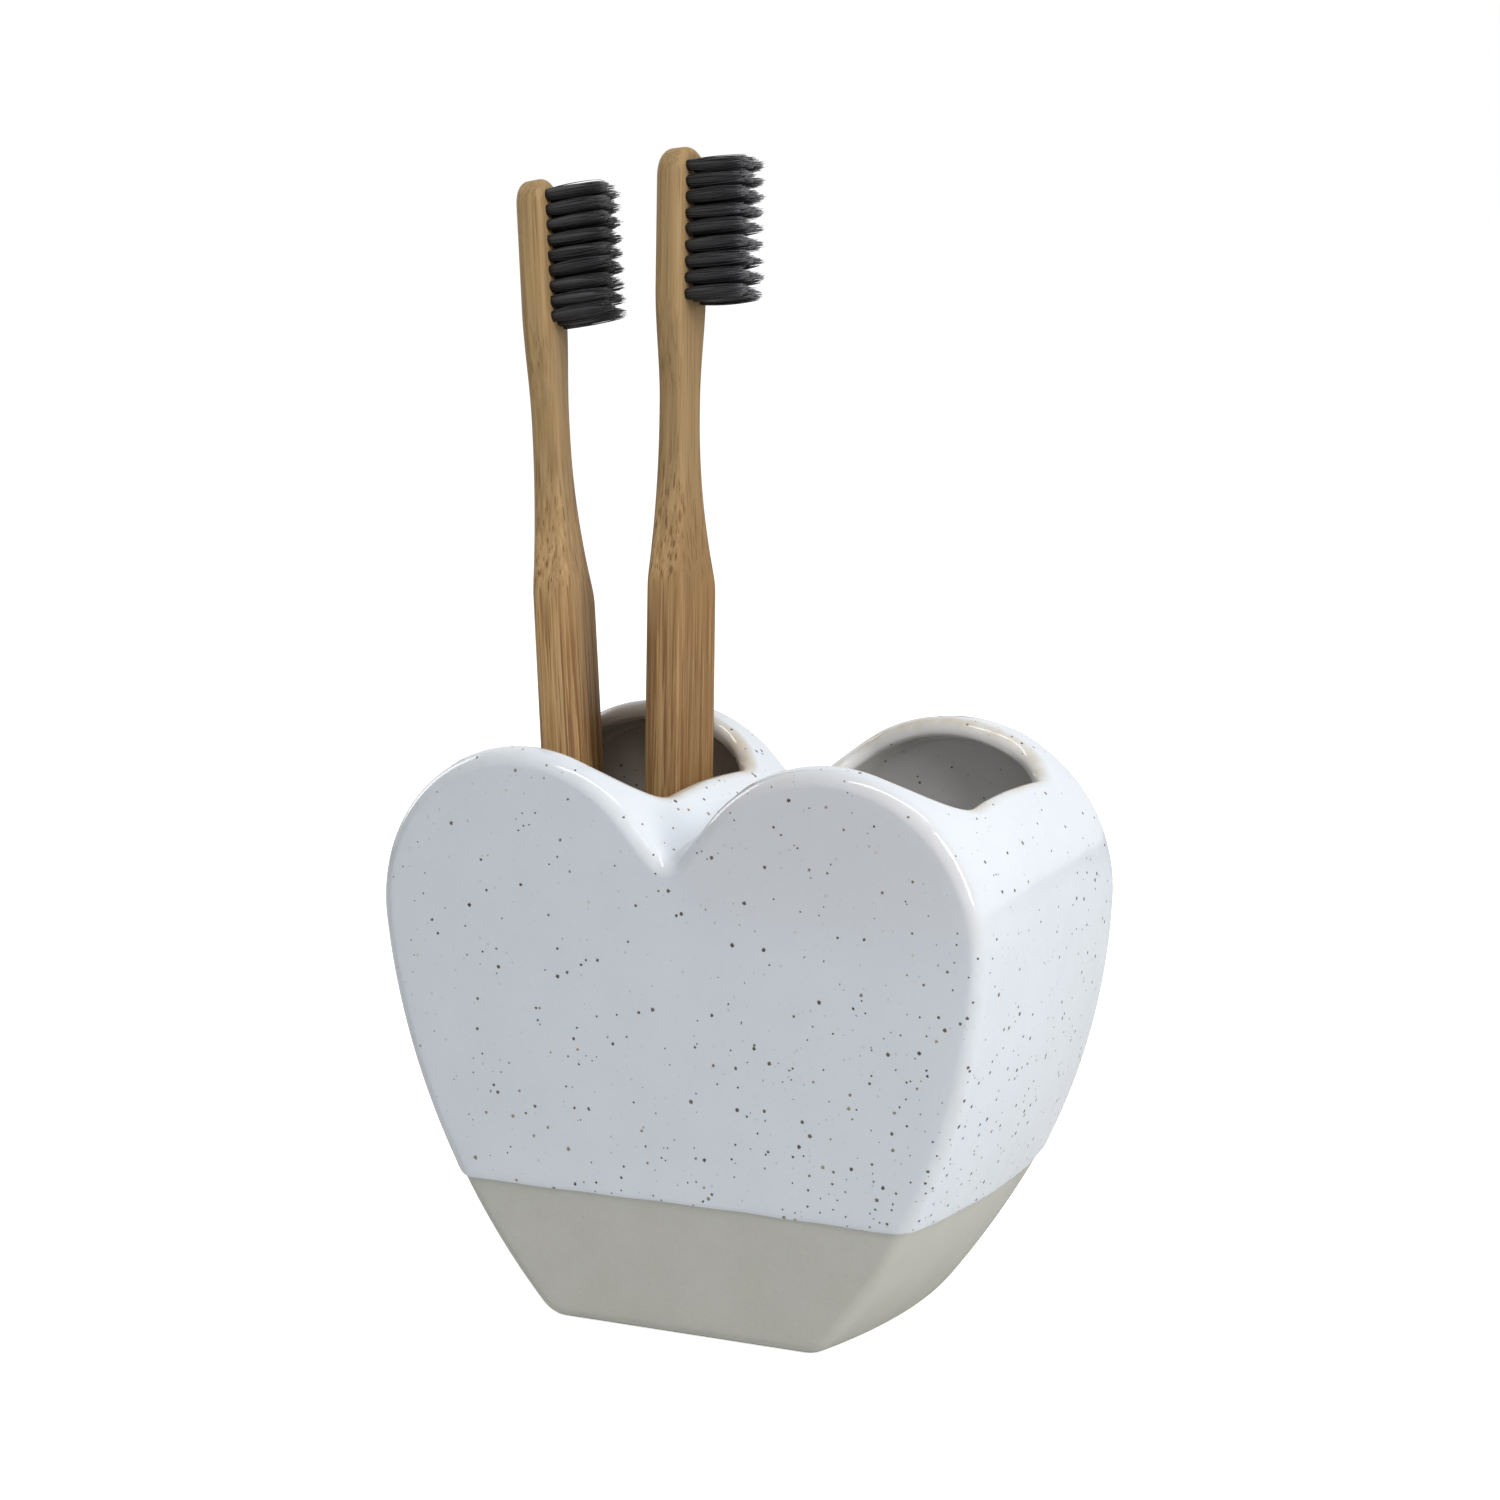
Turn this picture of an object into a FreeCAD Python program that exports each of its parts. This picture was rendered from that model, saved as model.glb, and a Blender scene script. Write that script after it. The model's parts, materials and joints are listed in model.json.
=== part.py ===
import FreeCAD, Part
import math
import os
import Sketcher

V = FreeCAD.Vector
K = Sketcher.Constraint

doc = FreeCAD.newDocument("heart_toothbrush_holder")

# Driving sizes in millimetres, with angles and turns in degrees
SIZES = {
    # holder, measured over the glaze
    "body_depth": 52.8,
    "lobe_spacing": 53.8,
    "lobe_radius": 26.1,
    "lobe_height": 67.4,
    "base_width": 48.6,
    "side_radius": 105.5,
    "flank_angle": 48.5,
    "notch_radius": 2.5,
    "base_belly": 3.7,
    "lobe_belly": 1.5,
    "lobe_drop": 2.0,
    "edge_rounding": 2.5,
    "wall": 3.5,
    "floor_thickness": 5.0,
    "chamber_rounding": 2.5,
    "glaze": 0.4,
    "glaze_line": 21.5,
    "mouth_width": 39.0,
    "mouth_depth": 37.8,
    "mouth_shift": -2.4,
    "mouth_corner": 6.0,
    "lip_rounding": 2.0,
    # brushes
    "grip_length": 111.5,
    "shoulder_to_neck": 27.5,
    "neck_to_head": 19.0,
    "head_length": 26.0,
    "grip_thickness": 6.8,
    "grip_width": 13.2,
    "neck_thickness": 5.2,
    "neck_width": 6.7,
    "neck_radius": 40.0,
    "head_thickness": 5.0,
    "head_width": 10.6,
    "handle_rounding": 1.5,
    "tuft_diameter": 1.8,
    "tuft_tip_diameter": 2.3,
    "tuft_length": 11.4,
    "tuft_socket": 3.2,
    "tuft_clearance": 0.02,
    "first_row": 3.6,
    "row_pitch": 2.7,
    "column_pitch": 2.5,
    "anchor_width": 2.3,
    "anchor_height": 1.4,
    "anchor_thickness": 0.25,
    # how the brushes stand
    "stand_gap": 0.3,
    "left_foot_side_gap": 3.6,
    "left_foot_front_gap": 0.2,
    "left_rim_side_gap": 6.3,
    "left_rim_back_gap": 2.8,
    "left_turn": 8.5,
    "right_foot_side_gap": 14.5,
    "right_foot_front_gap": 5.8,
    "right_rim_side_gap": 26.5,
    "right_rim_back_gap": 1.85,
    "right_turn": 0.2,
    "rim_height": 85.0,
}
TUFT_ROWS = 9
TUFT_COLUMNS = 3

sheet = doc.addObject("Spreadsheet::Sheet", "Sizes")
for row, (alias, value) in enumerate(SIZES.items(), start=1):
    sheet.set(f"A{row}", str(value))
    sheet.setAlias(f"A{row}", alias)
doc.recompute()


def now(alias):
    """Value of one driving size."""
    return float(getattr(sheet, alias))


def origin_part(body, role):
    return next(part for part in body.Origin.OriginFeatures if part.Role == role)


def sketch_on(body, plane, name, shift_x="0", shift_y="0", lift="0"):
    """Sketch on an origin plane of its body, moved in the plane and off it by expressions."""
    sketch = body.newObject("Sketcher::SketchObject", name)
    sketch.AttachmentSupport = [(origin_part(body, plane), "")]
    sketch.MapMode = "FlatFace"
    sketch.setExpression("AttachmentOffset.Base.x", shift_x)
    sketch.setExpression("AttachmentOffset.Base.y", shift_y)
    sketch.setExpression("AttachmentOffset.Base.z", lift)
    return sketch


def dimension(sketch, name, constraint, expression):
    index = sketch.addConstraint(constraint)
    sketch.renameConstraint(index, name)
    sketch.setExpression("Constraints." + name, expression)


# Sketch point and axis numbers
START, END, CENTRE = 1, 2, 3
ORIGIN, UPRIGHT = -1, -2


def mirrored(point):
    return V(-point.x, point.y)


def heart_outline(name, setback, grow, bottom, belly):
    """Upright heart outline: base line, side arcs, lobe arcs, flanks and a rounded notch.

    grow moves the outline outwards along its normals, bottom is the height of the base line,
    and belly is 1 at mid depth, where the sides swell and the lobes stand highest, and 0 at the
    front and back.
    """
    sketch = doc.addObject("Sketcher::SketchObject", name)
    sketch.Placement = FreeCAD.Placement(V(0, 0, 0), FreeCAD.Rotation(V(1, 0, 0), 90))
    sketch.setExpression("Placement.Base.y", setback)
    lobe = V(now("lobe_spacing") / 2, now("lobe_height"))
    reach = now("lobe_radius")
    slope = math.radians(now("flank_angle"))
    toe_point = V(now("base_width") / 2, 0)
    widest = lobe + V(reach, 0)
    waist = (toe_point + widest) * 0.5 + V(reach, -reach) * 0.25
    crown = lobe + V(0, reach)
    shoulder = lobe + V(-math.sin(slope), math.cos(slope)) * reach
    notch_radius = now("notch_radius")
    flank_foot = V(notch_radius, shoulder.y - (shoulder.x - notch_radius) * math.tan(slope))
    notch = flank_foot - V(notch_radius, notch_radius / 2)
    base, right_side, right_lobe, right_flank, notch_arc, left_flank, left_lobe, left_side, toe = range(9)
    sketch.addGeometry([
        Part.LineSegment(mirrored(toe_point), toe_point),
        Part.Arc(toe_point, waist, widest),
        Part.Arc(widest, crown, shoulder),
        Part.LineSegment(flank_foot, shoulder),
        Part.Arc(mirrored(flank_foot), notch, flank_foot),
        Part.LineSegment(mirrored(flank_foot), mirrored(shoulder)),
        Part.Arc(mirrored(shoulder), mirrored(crown), mirrored(widest)),
        Part.Arc(mirrored(widest), mirrored(waist), mirrored(toe_point)),
    ], False)
    sketch.addGeometry(Part.Point(toe_point), True)
    sketch.addConstraint([
        K("Coincident", base, END, right_side, START),
        K("Coincident", base, START, left_side, END),
        K("Tangent", right_side, END, right_lobe, START),
        K("Tangent", right_lobe, END, right_flank, END),
        K("Tangent", right_flank, START, notch_arc, END),
        K("Tangent", notch_arc, START, left_flank, START),
        K("Tangent", left_flank, END, left_lobe, START),
        K("Tangent", left_lobe, END, left_side, START),
        K("Symmetric", base, START, base, END, UPRIGHT),
        K("Symmetric", right_lobe, CENTRE, left_lobe, CENTRE, UPRIGHT),
        K("Equal", right_lobe, left_lobe),
        K("Equal", right_side, left_side),
        K("PointOnObject", notch_arc, CENTRE, UPRIGHT),
        K("PointOnObject", toe, START, ORIGIN),
    ])
    dimension(sketch, "lobe_x", K("DistanceX", ORIGIN, START, right_lobe, CENTRE, lobe.x),
              "Sizes.lobe_spacing / 2")
    dimension(sketch, "lobe_z", K("DistanceY", ORIGIN, START, right_lobe, CENTRE, lobe.y),
              f"Sizes.lobe_height - (1 - {belly}) * Sizes.lobe_drop")
    dimension(sketch, "toe_x", K("DistanceX", ORIGIN, START, toe, START, toe_point.x),
              f"Sizes.base_width / 2 + {belly} * Sizes.base_belly")
    dimension(sketch, "side_reach", K("Distance", toe, START, right_side, CENTRE, now("side_radius")),
              "Sizes.side_radius")
    dimension(sketch, "lobe_radius", K("Radius", right_lobe, reach),
              f"Sizes.lobe_radius + {belly} * Sizes.lobe_belly + {grow}")
    dimension(sketch, "side_radius", K("Radius", right_side, now("side_radius")),
              f"Sizes.side_radius + {grow}")
    dimension(sketch, "notch_radius", K("Radius", notch_arc, notch_radius),
              f"Sizes.notch_radius - ({grow})")
    dimension(sketch, "flank_angle", K("Angle", right_flank, slope), "Sizes.flank_angle")
    dimension(sketch, "bottom", K("DistanceY", ORIGIN, START, base, END, 0), bottom)
    return sketch


def rounded_body(label, solid, is_sharp, rounding):
    """Body around a finished solid with every edge that is_sharp picks rounded."""
    body = doc.addObject("PartDesign::Body", label)
    body.BaseFeature = solid
    doc.recompute()
    sharp = body.Tip
    edges = [f"Edge{number}" for number, edge in enumerate(sharp.Shape.Edges, start=1) if is_sharp(edge)]
    fillet = body.newObject("PartDesign::Fillet", label + "_rounding")
    fillet.Base = (sharp, edges)
    fillet.setExpression("Radius", rounding)
    doc.recompute()
    return body


def middle_of(edge):
    return edge.valueAt((edge.FirstParameter + edge.LastParameter) / 2)


TOUCH = 0.01


def cut(label, base, tool):
    """One solid less another."""
    result = doc.addObject("Part::Cut", label)
    result.Base = base
    result.Tool = tool
    result.Refine = False
    doc.recompute()
    return result


def block_below(label, top):
    """Block wider and deeper than the heart, with its upper face at a given height."""
    block = doc.addObject("Part::Box", label)
    width = "(Sizes.lobe_spacing + 4 * Sizes.lobe_radius)"
    block.setExpression("Length", width)
    block.setExpression("Width", "2 * Sizes.body_depth")
    block.setExpression("Height", "Sizes.lobe_height")
    block.setExpression("Placement.Base.x", f"-{width} / 2")
    block.setExpression("Placement.Base.y", "-Sizes.body_depth")
    block.setExpression("Placement.Base.z", f"{top} - Sizes.lobe_height")
    return block


def heart_form(label, grow, bottom, rounding):
    """Solid heart, swollen at mid depth, cut flat at the bottom, its front, back and base edges rounded."""
    half = "Sizes.body_depth / 2"
    below = f"{bottom} - Sizes.edge_rounding"
    loft = doc.addObject("Part::Loft", label + "_loft")
    loft.Sections = [
        heart_outline(label + "_front", f"-({half} + {grow})", grow, below, 0),
        heart_outline(label + "_middle", "0", grow, below, 1),
        heart_outline(label + "_back", f"{half} + {grow}", grow, below, 0),
    ]
    loft.Solid = True
    flat = cut(label + "_flat", loft, block_below(label + "_block", bottom))
    box = flat.Shape.optimalBoundingBox(False)

    def is_sharp(edge):
        middle = middle_of(edge)
        return min(box.YMax - abs(middle.y), middle.z - box.ZMin) < TOUCH

    return rounded_body(label, flat, is_sharp, rounding)


def mouth(label, side, grow):
    """Upright rounded prism that opens the top of one lobe, side being 1 right and -1 left."""
    block = doc.addObject("Part::Box", label + "_block")
    block.setExpression("Length", f"Sizes.mouth_width + 2 * {grow}")
    block.setExpression("Width", f"Sizes.mouth_depth + 2 * {grow}")
    block.setExpression("Height", "Sizes.lobe_radius + Sizes.lobe_belly + Sizes.wall")
    doc.recompute()

    def is_sharp(edge):
        return abs(edge.tangentAt(edge.FirstParameter).z) > 0.5

    prism = rounded_body(label, block, is_sharp, f"Sizes.mouth_corner + {grow}")
    prism.setExpression("Placement.Base.x", f"{side} * Sizes.lobe_spacing / 2 - Sizes.mouth_width / 2 - {grow}")
    prism.setExpression("Placement.Base.y", f"Sizes.mouth_shift - Sizes.mouth_depth / 2 - {grow}")
    prism.setExpression("Placement.Base.z", "Sizes.lobe_height")
    return prism


def opened_shell(label, form, chamber, mouths, rounding):
    """Hollow heart: a form less its chamber and mouths, with the outer lips rounded."""
    hollow = doc.addObject("Part::MultiFuse", label + "_hollow")
    hollow.Shapes = [chamber] + mouths
    hollow.Refine = False
    shell = cut(label + "_sharp", form, hollow)
    skin = form.Shape.Shells[0]
    walls = Part.makeCompound([part.Shape.Shells[0] for part in mouths])

    def is_sharp(edge):
        spot = Part.Vertex(middle_of(edge))
        return skin.distToShape(spot)[0] < TOUCH and walls.distToShape(spot)[0] < TOUCH

    return rounded_body(label, shell, is_sharp, rounding)


# Holder
clay_form = heart_form("clay_form", "-Sizes.glaze", "0", "Sizes.edge_rounding - Sizes.glaze")
clay_chamber = heart_form("clay_chamber", "-Sizes.wall", "Sizes.floor_thickness", "Sizes.chamber_rounding")
clay_mouths = [
    mouth("left_clay_mouth", -1, "Sizes.glaze"),
    mouth("right_clay_mouth", 1, "Sizes.glaze"),
]
clay_body = opened_shell("clay_body", clay_form, clay_chamber, clay_mouths, "Sizes.lip_rounding - Sizes.glaze")

glazed_form = heart_form("glazed_form", "0", "0", "Sizes.edge_rounding")
glazed_chamber = heart_form("glazed_chamber", "-Sizes.wall - Sizes.glaze",
                            "Sizes.floor_thickness + Sizes.glaze", "Sizes.chamber_rounding - Sizes.glaze")
glazed_mouths = [mouth("left_glazed_mouth", -1, "0"), mouth("right_glazed_mouth", 1, "0")]
glazed_shell = opened_shell("glazed_shell", glazed_form, glazed_chamber, glazed_mouths, "Sizes.lip_rounding")


# Space round the clay below the glaze line, which the glaze leaves bare
foot_space = cut("foot_space", block_below("foot_block", "Sizes.glaze_line"), clay_form)
glaze_coat = cut("glaze_coat", cut("glaze_layer", glazed_shell, clay_body), foot_space)


# Brushes, each in its own frame: foot at the origin, length along Z, bristles towards +X
NECK_AT = "(Sizes.grip_length + Sizes.shoulder_to_neck)"
HEAD_AT = f"({NECK_AT} + Sizes.neck_to_head)"
BRUSH_LENGTH = f"({HEAD_AT} + Sizes.head_length)"
MARGIN = "Sizes.grip_width"


def brush_outline(body, name):
    """Front outline of a handle: round foot, straight grip, waisted neck and round-topped head."""
    sketch = sketch_on(body, "YZ_Plane", name)
    grip = now("grip_width") / 2
    head = now("head_width") / 2
    neck = now("neck_width") / 2
    shoulder_at = now("grip_length")
    neck_at = shoulder_at + now("shoulder_to_neck")
    head_at = neck_at + now("neck_to_head")
    top = head_at + now("head_length")
    waist_low = V((grip + neck) / 2, (shoulder_at + neck_at) / 2)
    waist_high = V((head + neck) / 2, (head_at + neck_at) / 2)
    right_side = [
        Part.LineSegment(V(grip, grip), V(grip, shoulder_at)),
        Part.LineSegment(V(grip, shoulder_at), waist_low),
        Part.Arc(waist_low, V(neck, neck_at), waist_high),
        Part.LineSegment(waist_high, V(head, head_at)),
        Part.LineSegment(V(head, head_at), V(head, top - head)),
    ]
    left_side = [
        Part.LineSegment(V(-head, top - head), V(-head, head_at)),
        Part.LineSegment(V(-head, head_at), mirrored(waist_high)),
        Part.Arc(mirrored(waist_high), V(-neck, neck_at), mirrored(waist_low)),
        Part.LineSegment(mirrored(waist_low), V(-grip, shoulder_at)),
        Part.LineSegment(V(-grip, shoulder_at), V(-grip, grip)),
    ]
    foot_arc = Part.Arc(V(-grip, grip), V(0, 0), V(grip, grip))
    head_arc = Part.Arc(V(head, top - head), V(0, top), V(-head, top - head))
    sketch.addGeometry([foot_arc] + right_side + [head_arc] + left_side, False)
    (foot, right_grip, right_taper, right_neck, right_flare, right_head,
     tip, left_head, left_flare, left_neck, left_taper, left_grip) = range(12)
    sketch.addConstraint([
        K("Tangent", foot, END, right_grip, START),
        K("Coincident", right_grip, END, right_taper, START),
        K("Tangent", right_taper, END, right_neck, END),
        K("Tangent", right_neck, START, right_flare, START),
        K("Coincident", right_flare, END, right_head, START),
        K("Tangent", right_head, END, tip, START),
        K("Tangent", tip, END, left_head, START),
        K("Coincident", left_head, END, left_flare, START),
        K("Tangent", left_flare, END, left_neck, END),
        K("Tangent", left_neck, START, left_taper, START),
        K("Coincident", left_taper, END, left_grip, START),
        K("Tangent", left_grip, END, foot, START),
        K("Vertical", right_grip),
        K("Vertical", right_head),
        K("Vertical", left_head),
        K("Vertical", left_grip),
        K("Symmetric", right_grip, END, left_grip, START, UPRIGHT),
        K("Symmetric", right_head, START, left_head, END, UPRIGHT),
        K("Symmetric", right_neck, CENTRE, left_neck, CENTRE, UPRIGHT),
        K("Equal", right_neck, left_neck),
    ])
    radius = now("neck_radius")
    dimension(sketch, "foot_radius", K("Radius", foot, grip), "Sizes.grip_width / 2")
    dimension(sketch, "foot_z", K("DistanceY", ORIGIN, START, foot, CENTRE, grip), "Sizes.grip_width / 2")
    dimension(sketch, "head_radius", K("Radius", tip, head), "Sizes.head_width / 2")
    dimension(sketch, "tip_z", K("DistanceY", ORIGIN, START, tip, CENTRE, top - head),
              f"{BRUSH_LENGTH} - Sizes.head_width / 2")
    dimension(sketch, "shoulder_z", K("DistanceY", ORIGIN, START, right_grip, END, shoulder_at),
              "Sizes.grip_length")
    dimension(sketch, "head_z", K("DistanceY", ORIGIN, START, right_head, START, head_at), HEAD_AT)
    dimension(sketch, "neck_z", K("DistanceY", ORIGIN, START, right_neck, CENTRE, neck_at), NECK_AT)
    dimension(sketch, "neck_x", K("DistanceX", ORIGIN, START, right_neck, CENTRE, neck + radius),
              "Sizes.neck_width / 2 + Sizes.neck_radius")
    dimension(sketch, "neck_radius", K("Radius", right_neck, radius), "Sizes.neck_radius")
    return sketch


def polygon(sketch, corners):
    """Closed polygon, each corner a pair of expressions for its distances from the sketch origin."""
    count = len(corners)
    ring = [V(math.cos(2 * math.pi * step / count), math.sin(2 * math.pi * step / count))
            for step in range(count)]
    for step in range(count):
        sketch.addGeometry(Part.LineSegment(ring[step], ring[(step + 1) % count]), False)
    for step, (across, along) in enumerate(corners):
        sketch.addConstraint(K("Coincident", step - 1 if step else count - 1, END, step, START))
        dimension(sketch, f"across_{step}", K("DistanceX", ORIGIN, START, step, START, 1), across)
        dimension(sketch, f"along_{step}", K("DistanceY", ORIGIN, START, step, START, 1), along)


def pad(body, sketch, length):
    feature = body.newObject("PartDesign::Pad", sketch.Name + "_pad")
    feature.Profile = sketch
    feature.setExpression("Length", length)
    doc.recompute()
    return feature


def round_loops(body, rounding):
    """Round the two long outlines of a padded handle, at its back and at its bristle side."""
    sharp = body.Tip
    edges = [f"Edge{number}" for number, edge in enumerate(sharp.Shape.Edges, start=1)
             if abs(edge.tangentAt(edge.FirstParameter).x) < 0.5]
    fillet = body.newObject("PartDesign::Fillet", body.Name + "_rounding")
    fillet.Base = (sharp, edges)
    fillet.setExpression("Radius", rounding)
    doc.recompute()


def pocket(body, sketch, side_type, depth=None):
    """Cut along a sketch's normal: to a depth on its back, or right through both ways."""
    feature = body.newObject("PartDesign::Pocket", sketch.Name + "_cut")
    feature.Profile = sketch
    feature.SideType = side_type
    if depth:
        feature.setExpression("Length", depth)
    else:
        feature.Type = "ThroughAll"
    doc.recompute()
    return feature


def repeat(body, feature, axis, count, pitch, reverse=False):
    """Linear pattern of one feature along an axis of its body."""
    pattern = body.newObject("PartDesign::LinearPattern", feature.Name + "_repeat")
    pattern.Originals = [feature]
    pattern.Direction = (origin_part(body, axis), [""])
    pattern.setExpression("Length", f"{count - 1} * {pitch}")
    pattern.Occurrences = count
    pattern.Reversed = reverse
    body.Tip = pattern
    doc.recompute()
    return pattern


def row_height(row):
    return f"{BRUSH_LENGTH} - Sizes.first_row - {row} * Sizes.row_pitch"


def rectangle(sketch, width, height):
    """Rectangle centred on the sketch origin."""
    low, high = V(-1, -1), V(1, 1)
    sketch.addGeometry([
        Part.LineSegment(low, V(1, -1)),
        Part.LineSegment(V(1, -1), high),
        Part.LineSegment(high, V(-1, 1)),
        Part.LineSegment(V(-1, 1), low),
    ], False)
    for side in range(4):
        sketch.addConstraint(K("Coincident", side, END, (side + 1) % 4, START))
    sketch.addConstraint([
        K("Horizontal", 0),
        K("Vertical", 1),
        K("Horizontal", 2),
        K("Vertical", 3),
        K("Symmetric", 0, START, 1, END, ORIGIN, START),
    ])
    dimension(sketch, "width", K("DistanceX", 0, START, 0, END, 2), width)
    dimension(sketch, "height", K("DistanceY", 1, START, 1, END, 2), height)


def handle(label):
    """Bamboo handle: thinned on the bristle side above the grip, with its tuft holes and anchor slits."""
    body = doc.addObject("PartDesign::Body", label)
    pad(body, brush_outline(body, label + "_outline"), "Sizes.grip_thickness")
    round_loops(body, "Sizes.handle_rounding")
    relief = sketch_on(body, "XZ_Plane", label + "_relief")
    front = f"Sizes.grip_thickness + {MARGIN}"
    above = f"{BRUSH_LENGTH} + {MARGIN}"
    polygon(relief, [
        ("Sizes.grip_thickness", "Sizes.grip_length"),
        ("Sizes.neck_thickness", NECK_AT),
        ("Sizes.head_thickness", HEAD_AT),
        ("Sizes.head_thickness", above),
        (front, above),
        (front, "Sizes.grip_length"),
    ])
    pocket(body, relief, "Symmetric")
    for kind in ("hole", "slit"):
        sketch = sketch_on(body, "YZ_Plane", f"{label}_{kind}", f"-{TUFT_COLUMNS - 1} / 2 * Sizes.column_pitch",
                           row_height(0), "Sizes.head_thickness")
        if kind == "hole":
            sketch.addGeometry(Part.Circle(V(0, 0, 0), V(0, 0, 1), 1), False)
            sketch.addConstraint(K("Coincident", 0, CENTRE, ORIGIN, START))
            dimension(sketch, "radius", K("Radius", 0, 1), "Sizes.tuft_diameter / 2")
        else:
            rectangle(sketch, "Sizes.anchor_width", "Sizes.anchor_thickness")
        cutter = pocket(body, sketch, "One side", "Sizes.tuft_socket")
        across = repeat(body, cutter, "Y_Axis", TUFT_COLUMNS, "Sizes.column_pitch")
        across.Direction2 = (origin_part(body, "Z_Axis"), [""])
        across.setExpression("Length2", f"{TUFT_ROWS - 1} * Sizes.row_pitch")
        across.Occurrences2 = TUFT_ROWS
        across.Reversed2 = True
        doc.recompute()
    return body


def tuft_row(label, row):
    """Three tufts side by side: roots in their holes, slit over the anchors and spread at the tips."""
    body = doc.addObject("PartDesign::Body", label)
    profile = sketch_on(body, "XZ_Plane", label + "_profile", "0", row_height(row),
                        f"{TUFT_COLUMNS - 1} / 2 * Sizes.column_pitch")
    foot = "Sizes.head_thickness - Sizes.tuft_socket"
    tip = "Sizes.head_thickness + Sizes.tuft_length"
    root = "Sizes.tuft_diameter / 2 - Sizes.tuft_clearance"
    polygon(profile, [
        (foot, "0"),
        (tip, "0"),
        (tip, "Sizes.tuft_tip_diameter / 2"),
        ("Sizes.head_thickness", root),
        (foot, root),
    ])
    turned = body.newObject("PartDesign::Revolution", label + "_turned")
    turned.Profile = profile
    turned.ReferenceAxis = (profile, ["H_Axis"])
    doc.recompute()
    slit = sketch_on(body, "XZ_Plane", label + "_slit", f"{foot} + Sizes.anchor_height / 2", row_height(row))
    rectangle(slit, "Sizes.anchor_height", "Sizes.anchor_thickness")
    slot = pocket(body, slit, "Symmetric")
    pattern = repeat(body, turned, "Y_Axis", TUFT_COLUMNS, "Sizes.column_pitch")
    pattern.Originals = [turned, slot]
    doc.recompute()
    return body


def anchors(label):
    """Thin metal plates, one at the foot of every tuft hole."""
    body = doc.addObject("PartDesign::Body", label)
    plate = sketch_on(body, "YZ_Plane", label + "_plate", f"-{TUFT_COLUMNS - 1} / 2 * Sizes.column_pitch",
                      row_height(0), "Sizes.head_thickness - Sizes.tuft_socket")
    rectangle(plate, "Sizes.anchor_width", "Sizes.anchor_thickness")
    blade = pad(body, plate, "Sizes.anchor_height")
    across = repeat(body, blade, "Y_Axis", TUFT_COLUMNS, "Sizes.column_pitch")
    across.Direction2 = (origin_part(body, "Z_Axis"), [""])
    across.setExpression("Length2", f"{TUFT_ROWS - 1} * Sizes.row_pitch")
    across.Occurrences2 = TUFT_ROWS
    across.Reversed2 = True
    doc.recompute()
    return body


def stance(side, handle_shape):
    """Place of a brush that stands at the front of the chamber and leans towards the back lip.

    The foot is set from the left end of the base at mid depth and the inside of the front wall, and the
    point where the brush passes the rim from the left and back edges of the left mouth. The brush then
    drops until its lowest point is one stand_gap above the glazed floor.
    """
    half_grip = now("grip_width") / 2
    floor = now("floor_thickness") + now("glaze")
    mouth_left = -now("lobe_spacing") / 2 - now("mouth_width") / 2
    mouth_back = now("mouth_shift") + now("mouth_depth") / 2
    front_wall = now("wall") + now("glaze") - now("body_depth") / 2
    base_left = -now("base_width") / 2 - now("base_belly")
    foot = V(base_left + now(side + "_foot_side_gap"),
             front_wall + half_grip + now(side + "_foot_front_gap"), floor)
    rim = V(mouth_left + now(side + "_rim_side_gap"),
            mouth_back - half_grip - now(side + "_rim_back_gap"), now("rim_height"))
    turn = math.radians(now(side + "_turn"))
    bristles = V(math.cos(turn), math.sin(turn), 0)
    lean = FreeCAD.Rotation(bristles, V(0, 0, 0), rim - foot, "ZXY")
    leaning = handle_shape.copy()
    leaning.Placement = FreeCAD.Placement(V(0, 0, 0), lean)
    drop = leaning.optimalBoundingBox(False).ZMin
    return FreeCAD.Placement(foot + V(0, 0, now("stand_gap") - drop), lean)


def brush(side):
    """All the pieces of one brush, put in place together."""
    bamboo = handle(side + "_brush_handle")
    rows = [tuft_row(f"{side}_brush_tuft_row_{row + 1}", row) for row in range(TUFT_ROWS)]
    pieces = [bamboo] + rows + [anchors(side + "_brush_anchors")]
    place = stance(side, bamboo.Shape)
    for piece in pieces:
        piece.Placement = place
    return pieces


nodes = [clay_body, glaze_coat] + brush("left") + brush("right")
doc.recompute()

# Every object has to be sound before anything is written
for thing in doc.Objects:
    if "Invalid" in thing.State or "Error" in thing.State:
        raise RuntimeError(f"{thing.Label} failed to rebuild")
for node in nodes:
    if node.Shape.isNull() or not node.Shape.isValid():
        raise RuntimeError(f"{node.Label} has no sound shape")

os.makedirs("parts", exist_ok=True)
for node in nodes:
    node.Shape.exportStep(f"parts/{node.Label}.step")
    print(node.Label, len(node.Shape.Solids), "solids", round(node.Shape.Volume, 1), "mm3")
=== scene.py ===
import json

import bmesh
import bpy
import numpy as np
from mathutils import Matrix


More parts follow.
